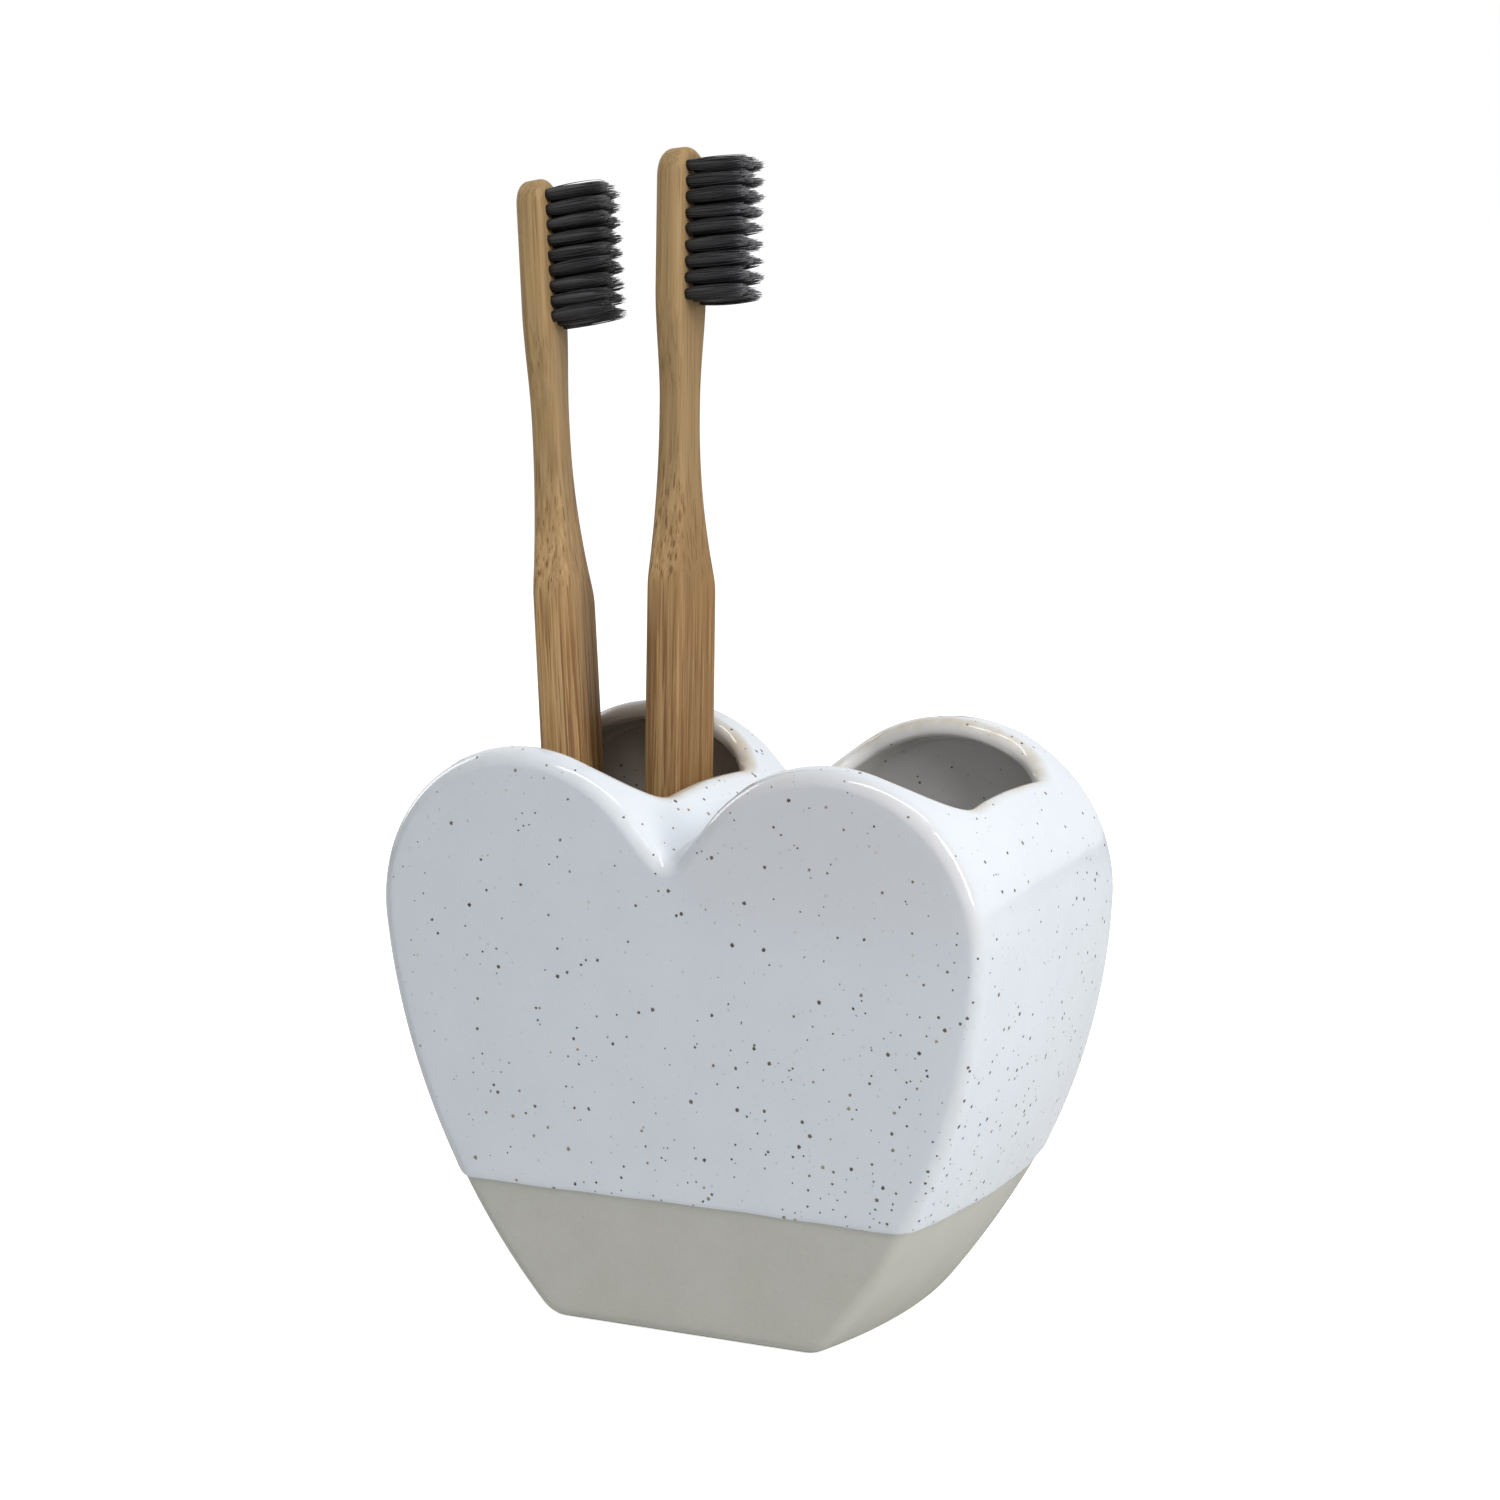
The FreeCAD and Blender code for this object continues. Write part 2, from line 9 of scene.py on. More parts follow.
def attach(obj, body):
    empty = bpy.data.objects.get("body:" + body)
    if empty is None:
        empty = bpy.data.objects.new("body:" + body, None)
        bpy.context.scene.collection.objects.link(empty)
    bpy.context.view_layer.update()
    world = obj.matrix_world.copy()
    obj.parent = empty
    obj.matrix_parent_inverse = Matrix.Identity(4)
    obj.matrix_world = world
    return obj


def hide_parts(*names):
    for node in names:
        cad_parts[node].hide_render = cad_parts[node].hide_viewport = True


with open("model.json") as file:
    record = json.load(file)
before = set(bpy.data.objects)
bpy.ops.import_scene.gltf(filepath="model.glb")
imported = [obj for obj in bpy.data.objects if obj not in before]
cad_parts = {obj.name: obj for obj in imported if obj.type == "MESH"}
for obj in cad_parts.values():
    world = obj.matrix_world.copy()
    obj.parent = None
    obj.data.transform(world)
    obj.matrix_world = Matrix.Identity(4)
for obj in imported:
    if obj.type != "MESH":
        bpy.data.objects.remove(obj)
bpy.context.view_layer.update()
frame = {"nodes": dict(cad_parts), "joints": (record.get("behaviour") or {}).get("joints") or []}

MM = 0.001

# Heart outline in millimetres, over the glaze
LOBE_X = 26.9
LOBE_Z = 67.4
LOBE_RADIUS = 26.1
LOBE_SWELL = 1.0
FRONT_DROP = 2.0
BACK_DROP = 1.0
TOE_X = 24.3
TOE_SWELL = 4.3
TOE_ROUND = 4.0
SIDE_RADIUS = 105.5
FLANK_ANGLE = np.radians(48.5)
NOTCH_RADIUS = 2.5
HALF_DEPTH = 26.4
EDGE_ROUNDING = 2.1
GLAZE = 0.4
WALL = 2.6
FLOOR = 5.0
CHAMBER_ROUNDING = 1.3

# Mouth of the right lobe on the plan
MOUTH_X = (8.4, 44.2)
MOUTH_Y = (-21.0, 18.3)
FRONT_CORNER = 10.0
BACK_CORNER = 6.0
LIP_ROUNDING = 2.0
INNER_LIP_ROUNDING = 0.8

# End of the glaze: its line, and how far its skin moves out at heights over that line
GLAZE_LINE = 21.5
ROLL_HEIGHTS = np.array([-8.0, -0.9, -0.08, 0.0, 0.1, 0.3, 0.7, 1.5, 3.0])
ROLL_OFFSETS = np.array([-1.9, -1.9, -1.0, -0.42, -0.24, -0.1, 0.0, 0.03, 0.0])

# Waves of the glaze line: height, turn per millimetre along x and along y, and start; then their reach
LINE_WAVES = ((0.12, 0.09, 0.0, 1.0), (0.05, 0.43, 0.37, 0.0))
WAVE_REACH = 2.5

# How thin the glaze is on the face edges, where the lips are 1
EDGE_THIN = 0.2

# Steps along each stretch of the heart's half outline
BASE_STEPS = 12
TOE_STEPS = 7
SIDE_STEPS = 34
OUTER_STEPS = 6
LOBE_STEPS = 52
FLANK_STEPS = 12
NOTCH_STEPS = 6
PATCH_ANGLE = np.radians(18.0)
PATCH_FIRST = BASE_STEPS + TOE_STEPS + SIDE_STEPS + OUTER_STEPS
PATCH_LAST = PATCH_FIRST + LOBE_STEPS + FLANK_STEPS

# Steps from front to back, and the share of the way out to the edge of each ring of a flat face
EDGE_STEPS = 8
DEPTH_STEPS = 30
FACE_RINGS = np.array([0.18, 0.36, 0.54, 0.70, 0.84, 0.93, 0.975])
FACE_CENTRE = np.array([0.0, 46.0])
SIDE_ROWS = slice(len(FACE_RINGS) + EDGE_STEPS, len(FACE_RINGS) + EDGE_STEPS + DEPTH_STEPS + 1)

# Steps of the rings that run from the outside over a lip to the inside
RING_STEPS = 6
LIP_STEPS = 9
WALL_STEPS = 2
INNER_LIP_STEPS = 5
INNER_RING_STEPS = 4

# Brush in its own frame: foot at the origin, length along z, bristles towards x
BRUSH_LENGTH = 184.0
GRIP_LENGTH = 111.5
NECK_AT = 139.0
HEAD_AT = 158.0
HEAD_LATER = 2.0
SHOULDER_BLUR = np.linspace(-1.5, 1.5, 9)
GRIP_HALF = 6.6
NECK_HALF = 3.35
HEAD_HALF = 5.3
GRIP_THICK = 6.8
NECK_THICK = 5.2
HEAD_THICK = 5.0
HANDLE_ROUNDING = 1.5
TURN = {"left": np.radians(8.5), "right": np.radians(0.2)}

# Rows along a handle, steps of its end arcs and edges, and shares of the way out over its flat faces
HANDLE_ROWS = 130
HANDLE_END_STEPS = 14
HANDLE_EDGE_STEPS = 7
HANDLE_SHARES = np.array([0.0, 0.45, 0.8, 0.95])

# Distance between the two handles in the space of the bamboo's pattern
GRAIN_APART = 50.0

# Tufts
FIRST_ROW = 3.6
ROW_PITCH = 2.7
COLUMN_PITCH = 2.5
ROWS = 9
COLUMNS = 3
TUFT_RADIUS = 0.88
TUFT_LENGTH = 11.4
TUFT_SINK = 0.6
TUFT_LEAN = 0.16

# Filaments of a tuft, and the core behind them
SEEDS_PER_BRUSH = 100
FILAMENTS = 64
FILAMENT_SIDES = 5
FILAMENT_RADII = np.linspace(0.125, 0.035, 8)
RIM_MARGIN = 0.08
TIP_SPREAD = (0.95, 1.3)
FILAMENT_SCATTER = 0.05
RIM_SHORTER = 0.1
LENGTH_SCATTER = 0.02
BOW = 0.34
BOW_LEAN = 0.4
CORE_SIDES = 12
CORE_RADII = np.array([0.8, 0.92, 1.0, 1.04, 1.04, 1.0, 0.92, 0.78, 0.56, 0.2])
CORE_LENGTH = 0.94 * TUFT_LENGTH
CORE_LEAN = 0.8
# Share of the painted tip light that reaches the core's tip
CORE_TIP_LIGHT = 0.85

LAMP_TARGET = (0.0, 0.0, 0.06)


def steps(count):
    return np.linspace(0.0, 1.0, count + 1)


def direction(angle):
    return np.stack([np.cos(angle), np.sin(angle)], axis=-1)


def unit(vectors):
    return vectors / np.linalg.norm(vectors, axis=-1, keepdims=True)


def ease(low, high, value):
    """Smooth rise from 0 at low to 1 at high: three times the square less twice the cube."""
    share = np.clip((value - low) / (high - low), 0.0, 1.0)
    return share * share * (3 - 2 * share)


def swell(y, half):
    """How far the sides have swollen: one at mid depth, falling with the square to nothing at the faces."""
    return 1.0 - (y / half) ** 2


def lobe_radius(bulge, grow):
    return LOBE_RADIUS + LOBE_SWELL * bulge + grow


def lobe_height(y, half):
    """Height of a lobe's centre: highest at mid depth, falling with the square of the way to a face."""
    return LOBE_Z - np.where(y < 0, FRONT_DROP, BACK_DROP) * (y / half) ** 2


def half_outline(y, half, grow, base_z):
    """Right half of the heart from the middle of the base to the notch, with its outward normals.

    One row per depth. The stretches are the base line, a small toe arc, a side arc that touches the
    lobe arc from outside, the lobe arc, the straight flank that touches it, and half the notch arc.
    Growing moves every point along its normal.
    """
    bulge = swell(y, half)[:, None]
    rows = len(bulge)
    lobe = np.stack([LOBE_X + 0 * bulge, lobe_height(y, half)[:, None]], axis=-1)
    radius = lobe_radius(bulge, 0.0)
    toe = np.stack([TOE_X + TOE_SWELL * bulge, 0 * bulge], axis=-1)
    link = lobe - toe
    span = np.linalg.norm(link, axis=-1)
    along = (SIDE_RADIUS ** 2 - (SIDE_RADIUS - radius) ** 2 + span ** 2) / (2 * span)
    across = np.sqrt(SIDE_RADIUS ** 2 - along ** 2)
    ahead = link / span[..., None]
    inward = np.stack([-ahead[..., 1], ahead[..., 0]], axis=-1)
    hub = toe + along[..., None] * ahead + across[..., None] * inward
    toe_reach = SIDE_RADIUS + grow - TOE_ROUND
    low = np.arcsin((base_z + TOE_ROUND - hub[..., 1]) / toe_reach)
    high = np.arctan2(lobe[..., 1] - hub[..., 1], LOBE_X - hub[..., 0])
    shoulder = np.pi / 2 + FLANK_ANGLE

    toe_hub = hub + toe_reach * direction(low)
    base_points = toe_hub * [1.0, 0.0] * steps(BASE_STEPS)[:-1][:, None] + [0.0, base_z]
    base_normals = np.broadcast_to([0.0, -1.0], base_points.shape)
    toe_normals = direction(-np.pi / 2 + (low + np.pi / 2) * steps(TOE_STEPS)[:-1])
    toe_points = toe_hub + TOE_ROUND * toe_normals
    side_normals = direction(low + (high - low) * steps(SIDE_STEPS)[:-1])
    side_points = hub + (SIDE_RADIUS + grow) * side_normals
    outer_normals = direction(high + (PATCH_ANGLE - high) * steps(OUTER_STEPS)[:-1])
    outer_points = lobe + (radius + grow)[..., None] * outer_normals
    lobe_angles = PATCH_ANGLE + (shoulder - PATCH_ANGLE) * steps(LOBE_STEPS)[:-1]
    lobe_normals = np.broadcast_to(direction(lobe_angles), (rows, LOBE_STEPS, 2))
    lobe_points = lobe + (radius + grow)[..., None] * lobe_normals

    notch_drop = np.tan(FLANK_ANGLE) * LOBE_X
    notch_z = lobe[..., 1] - notch_drop + (radius + NOTCH_RADIUS) / np.cos(FLANK_ANGLE)
    notch = np.stack([0 * notch_z, notch_z], axis=-1)
    flank_top = lobe + (radius + grow)[..., None] * direction(shoulder)
    flank_foot = notch - (NOTCH_RADIUS - grow) * direction(shoulder)
    flank_points = flank_top + (flank_foot - flank_top) * steps(FLANK_STEPS)[:-1][:, None]
    flank_normals = np.broadcast_to(direction(shoulder), flank_points.shape)
    notch_angles = shoulder - FLANK_ANGLE * steps(NOTCH_STEPS)
    notch_normals = np.broadcast_to(direction(notch_angles), (rows, NOTCH_STEPS + 1, 2))
    notch_points = notch - (NOTCH_RADIUS - grow) * notch_normals

    points = np.concatenate([base_points, toe_points, side_points, outer_points, lobe_points,
                             flank_points, notch_points], axis=1)
    normals = np.concatenate([base_normals, toe_normals, side_normals, outer_normals, lobe_normals,
                              flank_normals, notch_normals], axis=1)
    points[:, [0, -1], 0] = 0.0
    normals[:, -1] = [0.0, 1.0]
    return points, normals


def half_skin(grow, rounding, base_z):
    """Right half of a swollen heart as a grid, rows from front to back and columns along the outline.

    A point is the outline drawn in by the rounding, plus a ball of that radius: at the edges the
    ball's angle turns from straight ahead to straight out, and on the sides it stays straight out.
    The flat faces are the first outline shrunk towards a centre. Edges are marked as thinly glazed.
    """
    half = HALF_DEPTH + grow
    flat = half - rounding
    turn = -np.pi / 2 * (1 - steps(EDGE_STEPS))[:-1]
    edge_y = -flat + rounding * np.sin(turn)
    y = np.concatenate([edge_y, flat * (2 * steps(DEPTH_STEPS) - 1), -edge_y[::-1]])
    reach = rounding * np.concatenate([np.cos(turn), np.ones(DEPTH_STEPS + 1), np.cos(turn)[::-1]])
    points, normals = half_outline(y, half, grow - rounding, base_z + rounding)
    rim = points + reach[:, None, None] * normals
    sides = np.stack([rim[..., 0], np.broadcast_to(y[:, None], rim.shape[:2]), rim[..., 1]], axis=-1)
    face = FACE_CENTRE + FACE_RINGS[:, None, None] * (rim[0] - FACE_CENTRE)
    front = np.stack([face[..., 0], np.full(face.shape[:2], -half), face[..., 1]], axis=-1)
    grid = np.concatenate([front, sides, front[::-1] * [1, -1, 1]])
    edge = EDGE_THIN * np.sin(2 * np.abs(turn))
    blank = np.zeros(len(FACE_RINGS))
    thin = np.concatenate([blank, edge, np.zeros(DEPTH_STEPS + 1), edge[::-1], blank])
    return grid, np.broadcast_to(thin[:, None], grid.shape[:2])


def lobe_at(y, grow):
    """Radius and height of the lobe's centre at a depth, and the place where the flank touches it."""
    half = HALF_DEPTH + grow
    radius = lobe_radius(swell(y, half), grow)
    return radius, lobe_height(y, half), LOBE_X - radius * np.sin(FLANK_ANGLE)


def top_height(x, y, grow):
    """Height of the lobe's arc, or of the straight flank, over a place on the plan."""
    radius, centre_z, touch_x = lobe_at(y, grow)
    arc = centre_z + np.sqrt(np.maximum(radius ** 2 - (x - LOBE_X) ** 2, 0.0))
    line = centre_z + radius * np.cos(FLANK_ANGLE) - (touch_x - x) * np.tan(FLANK_ANGLE)
    return np.where(x > touch_x, arc, line)


def top_slope(place, way, grow):
    """Rise of the top per millimetre of plan along a way, from the heights a little ahead and behind."""
    reach = 0.02
    ahead = place + reach * way
    behind = place - reach * way
    rise = top_height(ahead[:, 0], ahead[:, 1], grow) - top_height(behind[:, 0], behind[:, 1], grow)
    return rise / (2 * reach)


def along_top(x, y, grow):
    """Distance along the outline from the crown of the lobe, outwards positive."""
    radius, _, touch_x = lobe_at(y, grow)
    arc = radius * np.arcsin(np.clip((x - LOBE_X) / radius, -1, 1))
    line = -radius * FLANK_ANGLE - (touch_x - x) / np.cos(FLANK_ANGLE)
    return np.where(x > touch_x, arc, line)


def point_on_top(along, y, grow):
    """Point at a distance along the outline from the crown, on the arc or past its end on the flank."""
    radius, centre_z, _ = lobe_at(y, grow)
    angle = np.maximum(along / radius, -FLANK_ANGLE)
    past = np.minimum(along + radius * FLANK_ANGLE, 0)
    x = LOBE_X + radius * np.sin(angle) + past * np.cos(FLANK_ANGLE)
    z = centre_z + radius * np.cos(angle) + past * np.sin(FLANK_ANGLE)
    return np.stack([x, y, z], axis=-1)


def mouth_line(grow, counts):
    """Rounded rectangle of the mouth on the plan, with its outward normals.

    Its four sides, front, flank end, back and outer end, each run from the middle of one corner arc
    to the middle of the next, in counts steps of equal length.
    """
    fronts, backs = FRONT_CORNER, BACK_CORNER
    left, right = MOUTH_X
    front, back = MOUTH_Y
    hubs = np.array([[right - fronts, front + fronts], [left + fronts, front + fronts],
                     [left + backs, back - backs], [right - backs, back - backs]])
    radii = np.array([fronts, fronts, backs, backs]) + grow
    places = []
    normals = []
    for side, count in enumerate(counts):
        after = (side + 1) % 4
        level = direction(-np.pi / 2 - side * np.pi / 2)
        way = np.array([level[1], -level[0]])
        run = (hubs[after] - hubs[side]) @ way
        first, second = radii[side] * np.pi / 4, radii[after] * np.pi / 4
        travel = steps(count)[:-1] * (first + run + second)
        beyond = np.clip(travel - first - run, 0, None)
        turned = np.clip(travel, 0, first) / radii[side] + beyond / radii[after]
        normal = direction(-np.pi / 4 - side * np.pi / 2 - turned)
        ahead = np.clip(travel - first, 0, run)[:, None]
        before_end = hubs[side] + radii[side] * normal + ahead * way
        places.append(np.where((beyond > 0)[:, None], hubs[after] + radii[after] * normal, before_end))
        normals.append(normal)
    return np.concatenate(places), np.concatenate(normals)


def lip(place, normal, grow, rounding, up):
    """Ends of the rounding between the top and the mouth's upright wall, and the ways it leaves them.

    The rounding starts where a ball of its radius touches the top and ends where it touches the wall,
    one setback from their corner: the radius over the tangent of half the wedge. up is -1 where the
    wall hangs under the top, at the outer lip, and 1 where it stands on it, inside.
    """
    rise = top_slope(place, normal, grow)
    run = 1 / np.sqrt(1 + rise ** 2)
    wedge = np.arccos(np.clip(up * rise * run, -1, 1))
    setback = rounding / np.tan(wedge / 2)
    plan = place + normal * (setback * run)[:, None]
    seat = np.column_stack([plan, top_height(plan[:, 0], plan[:, 1], grow)])
    seat_way = unit(-np.column_stack([normal, top_slope(plan, normal, grow)]))
    wall = np.column_stack([place, top_height(place[:, 0], place[:, 1], grow) + up * setback])
    wall_way = np.broadcast_to([0.0, 0.0, -up], wall.shape)
    pull = 4 * np.sin(wedge / 2) / (3 * (1 + np.sin(wedge / 2))) * setback
    return seat, seat_way, wall, wall_way, pull[:, None]


def bend(start, start_way, end, end_way, pull, count):
    """Cubic arc between two points whose inner control points lie one pull along each end's way."""
    u = steps(count)[:, None, None]
    first = start + pull * start_way
    second = end + pull * end_way
    near = (1 - u) ** 3 * start + 3 * u * (1 - u) ** 2 * first
    return near + 3 * u ** 2 * (1 - u) * second + u ** 3 * end


def rings_on_top(seat, border, grow, count):
    """Rings between a lip's seat and the border of its patch, spaced evenly over the curved top."""
    share = steps(count)[1:-1, None]
    seat_along = along_top(seat[:, 0], seat[:, 1], grow)
    border_along = along_top(border[:, 0], border[:, 1], grow)
    y = seat[:, 1] + share * (border[:, 1] - seat[:, 1])
    return point_on_top(seat_along + share * (border_along - seat_along), y, grow)


def border_of(grid):
    """Border of the patch that holds the mouth: front, flank end, back and outer end."""
    side = grid[SIDE_ROWS]
    return np.concatenate([
        side[0, PATCH_FIRST:PATCH_LAST],
        side[:-1, PATCH_LAST],
        side[-1, PATCH_LAST:PATCH_FIRST:-1],
        side[:0:-1, PATCH_FIRST],
    ])


def mouth_rings(outside, inside, outer_grow, inner_grow, mouth_grow):
    """Rings of points from the outer skin's patch border, over the lip, to the inner skin's.

    They run over the outside, over the lip, down the wall, round the inner lip, and out over the
    inside. With them come two values per ring: thin glaze, greatest on top of the lip, and how far
    inside a ring is, rising over the lip from 0 to 1. A mouth that has grown has its lips' roundings
    smaller by as much.
    """
    place, normal = mouth_line(mouth_grow, (LOBE_STEPS + FLANK_STEPS, DEPTH_STEPS) * 2)
    seat, seat_way, wall, wall_way, pull = lip(place, normal, outer_grow, LIP_ROUNDING - mouth_grow, -1)
    low_seat, low_way, low_wall, low_wall_way, low_pull = lip(
        place, normal, inner_grow, INNER_LIP_ROUNDING - mouth_grow, 1)
    rings = rings_on_top(seat, border_of(outside), outer_grow, RING_STEPS)[::-1]
    over = bend(seat, seat_way, wall, wall_way, pull, LIP_STEPS)
    down = wall + steps(WALL_STEPS)[1:-1, None, None] * (low_wall - wall)
    under = bend(low_wall, low_wall_way, low_seat, low_way, low_pull, INNER_LIP_STEPS)
    low_rings = rings_on_top(low_seat, border_of(inside), inner_grow, INNER_RING_STEPS)
    before = np.zeros(len(rings))
    after = np.ones(len(down) + len(under) + len(low_rings))
    thin = np.concatenate([before, np.sin(np.pi * steps(LIP_STEPS)), 0 * after])
    inwards = np.concatenate([before, steps(LIP_STEPS), after])
    return np.concatenate([rings, over, down, under, low_rings]), thin, inwards


def quads(numbers):
    """Quads between neighbouring points of a grid of point numbers."""
    corners = [numbers[:-1, :-1], numbers[1:, :-1], numbers[1:, 1:], numbers[:-1, 1:]]
    return np.stack(corners, axis=-1).reshape(-1, 4)


def skin_faces(numbers, front_pole, back_pole, way):
    """Quads of a skin without the patch round its mouth, and the fans that close its two flat faces.

    way is 1 for an outer skin and -1 for an inner one, whose faces are turned over.
    """
    kept = np.ones((numbers.shape[0] - 1, numbers.shape[1] - 1), bool)
    kept[SIDE_ROWS.start:SIDE_ROWS.stop - 1, PATCH_FIRST:PATCH_LAST] = False
    fans = []
    for line, pole, turn in ((numbers[0], front_pole, way), (numbers[-1], back_pole, -way)):
        hub = np.full(len(line) - 1, pole)
        fans.append(np.stack([hub, line[:-1], line[1:]], axis=-1)[:, ::turn])
    return quads(numbers)[kept.ravel()][:, ::way], np.concatenate(fans)


def hollow_heart(outer, inner, mouth_grow):
    """Right half of a hollow heart: points, quads, triangles, and marks of thin glaze, outside and inside.

    outer and inner are each grow, rounding and base height. Both skins leave out the patch round the
    mouth, which the mouth's rings fill.
    """
    outside, edge_thin = half_skin(*outer)
    inside, _ = half_skin(*inner)
    mouth, lip_thin, lip_inwards = mouth_rings(outside, inside, outer[0], inner[0], mouth_grow)
    pole_depths = [skin[row, 0, 1] for skin in (outside, inside) for row in (0, -1)]
    poles = np.array([[0.0, y, FACE_CENTRE[1]] for y in pole_depths])
    points = np.concatenate([part.reshape(-1, 3) for part in (outside, inside, mouth, poles)])

    count = edge_thin.size
    around = mouth.shape[1]
    outer_numbers = np.arange(count).reshape(edge_thin.shape)
    inner_numbers = outer_numbers + count
    mouth_numbers = 2 * count + np.arange(len(mouth) * around).reshape(-1, around)
    pole_numbers = 2 * count + mouth_numbers.size + np.arange(len(poles))
    loops = np.concatenate([border_of(outer_numbers)[None], mouth_numbers, border_of(inner_numbers)[None]])
    loops = np.concatenate([loops, loops[:, :1]], axis=1)
    outer_faces, outer_fans = skin_faces(outer_numbers, *pole_numbers[:2], 1)
    inner_faces, inner_fans = skin_faces(inner_numbers, *pole_numbers[2:], -1)

    none = np.zeros(count)
    full = np.ones(count)
    marks = {
        "thin": np.concatenate([edge_thin.ravel(), none, np.repeat(lip_thin, around), [0, 0, 0, 0]]),
        "outer": np.concatenate([full, none, np.zeros(mouth_numbers.size), [1, 1, 0, 0]]),
        "inside": np.concatenate([none, full, np.repeat(lip_inwards, around), [0, 0, 1, 1]]),
    }
    faces = np.concatenate([quads(loops), outer_faces, inner_faces])
    return points, faces, np.concatenate([outer_fans, inner_fans]), marks


def both_halves(points, faces, fans, marks, mirror):
    """The half and its mirror image, welded where points meet on the middle plane."""
    weld_digits = 5
    count = len(points)
    both = np.concatenate([points, points * mirror])
    rounded = np.round(both, weld_digits) + 0.0
    _, kept, numbers = np.unique(rounded, axis=0, return_index=True, return_inverse=True)
    numbers = numbers.ravel()
    faces = numbers[np.concatenate([faces, faces[:, ::-1] + count])]
    fans = numbers[np.concatenate([fans, fans[:, ::-1] + count])]
    marks = {name: np.concatenate([values, values])[kept] for name, values in marks.items()}
    return both[kept], faces, fans, marks


def sound_faces(faces, fans):
    """Quads with a repeated corner become triangles, and triangles with one are dropped."""
    spoiled = (faces == np.roll(faces, 1, axis=1)).any(axis=1)
    halves = np.concatenate([fans, faces[spoiled][:, [0, 1, 2]], faces[spoiled][:, [0, 2, 3]]])
    whole = (halves != np.roll(halves, 1, axis=1)).all(axis=1)
    return faces[~spoiled].tolist() + halves[whole].tolist()


def new_piece(name, points, faces, marks):
    """Smooth mesh object from points in millimetres, faces, and marks kept as point attributes."""
    mesh = bpy.data.meshes.new(name)
    mesh.from_pydata(points * MM, [], faces)
    for mark, values in marks.items():
        kind, field = ("FLOAT_VECTOR", "vector") if values.ndim == 2 else ("FLOAT", "value")
        data = mesh.attributes.new(mark, kind, "POINT").data
        data.foreach_set(field, values.astype(np.float32).ravel())
    mesh.shade_smooth()
    piece = bpy.data.objects.new(name, mesh)
    bpy.context.scene.collection.objects.link(piece)
    return piece


def heart_piece(name, outer, inner, mouth_grow):
    points, faces, fans, marks = both_halves(*hollow_heart(outer, inner, mouth_grow), [-1, 1, 1])
    return new_piece(name, points, sound_faces(faces, fans), marks)


def end_glaze_at_line(piece):
    """Glaze that rolls off at the glaze line and goes on inside the clay below it.

    Level cuts give rings of points near the line. Each point of the outside then moves along its
    normal by the offset of its height, and the line itself rises and falls by two slow sine waves,
    which fade above and below it as a bell curve.
    """
    mesh = piece.data
    work = bmesh.new()
    work.from_mesh(mesh)
    for height in ROLL_HEIGHTS[1:]:
        everything = work.verts[:] + work.edges[:] + work.faces[:]
        bmesh.ops.bisect_plane(work, geom=everything, dist=1e-7, plane_no=(0, 0, 1),
                               plane_co=(0, 0, (GLAZE_LINE + height) * MM))
    work.to_mesh(mesh)
    work.free()
    count = len(mesh.vertices)
    points = np.empty(count * 3, np.float32)
    normals = np.empty(count * 3, np.float32)
    outer = np.empty(count, np.float32)
    mesh.vertices.foreach_get("co", points)
    mesh.vertex_normals.foreach_get("vector", normals)
    mesh.attributes["outer"].data.foreach_get("value", outer)
    points = points.reshape(-1, 3) / MM
    normals = normals.reshape(-1, 3)
    outer = (outer > 0.5).astype(float)
    x, y, z = points.T
    above = z - GLAZE_LINE
    moved = np.interp(above, ROLL_HEIGHTS, ROLL_OFFSETS) * outer
    wave = sum(size * np.sin(by_x * x + by_y * y + start) for size, by_x, by_y, start in LINE_WAVES)
    points = points + normals * moved[:, None]
    points[:, 2] += outer * wave * np.exp(-(above / WAVE_REACH) ** 2)
    mesh.vertices.foreach_set("co", (points * MM).astype(np.float32).ravel())
    mesh.update()
    mesh.shade_smooth()


def shoulder(z):
    """Share of the way from grip to neck, one less the square of the way that is left.

    It starts crisply at the grip's end and finishes slowly. The start is rounded over a few
    millimetres by averaging the same curve at places a little apart.
    """
    left = np.clip((NECK_AT - z[..., None] + SHOULDER_BLUR) / (NECK_AT - GRIP_LENGTH), 0.0, 1.0)
    return np.mean(1 - left ** 2, axis=-1)


def handle_width(z):
    """Half width of a handle: wide grip, narrow neck and a head between the two, joined smoothly.

    The head widens a little later than it thins.
    """
    head = ease(NECK_AT + HEAD_LATER, HEAD_AT + HEAD_LATER, z)
    return GRIP_HALF + (NECK_HALF - GRIP_HALF) * shoulder(z) + (HEAD_HALF - NECK_HALF) * head


def handle_thickness(z):
    """Thickness of a handle, which falls from the grip to the neck and a little more to the head."""
    head = ease(NECK_AT, HEAD_AT, z)
    return GRIP_THICK + (NECK_THICK - GRIP_THICK) * shoulder(z) + (HEAD_THICK - NECK_THICK) * head


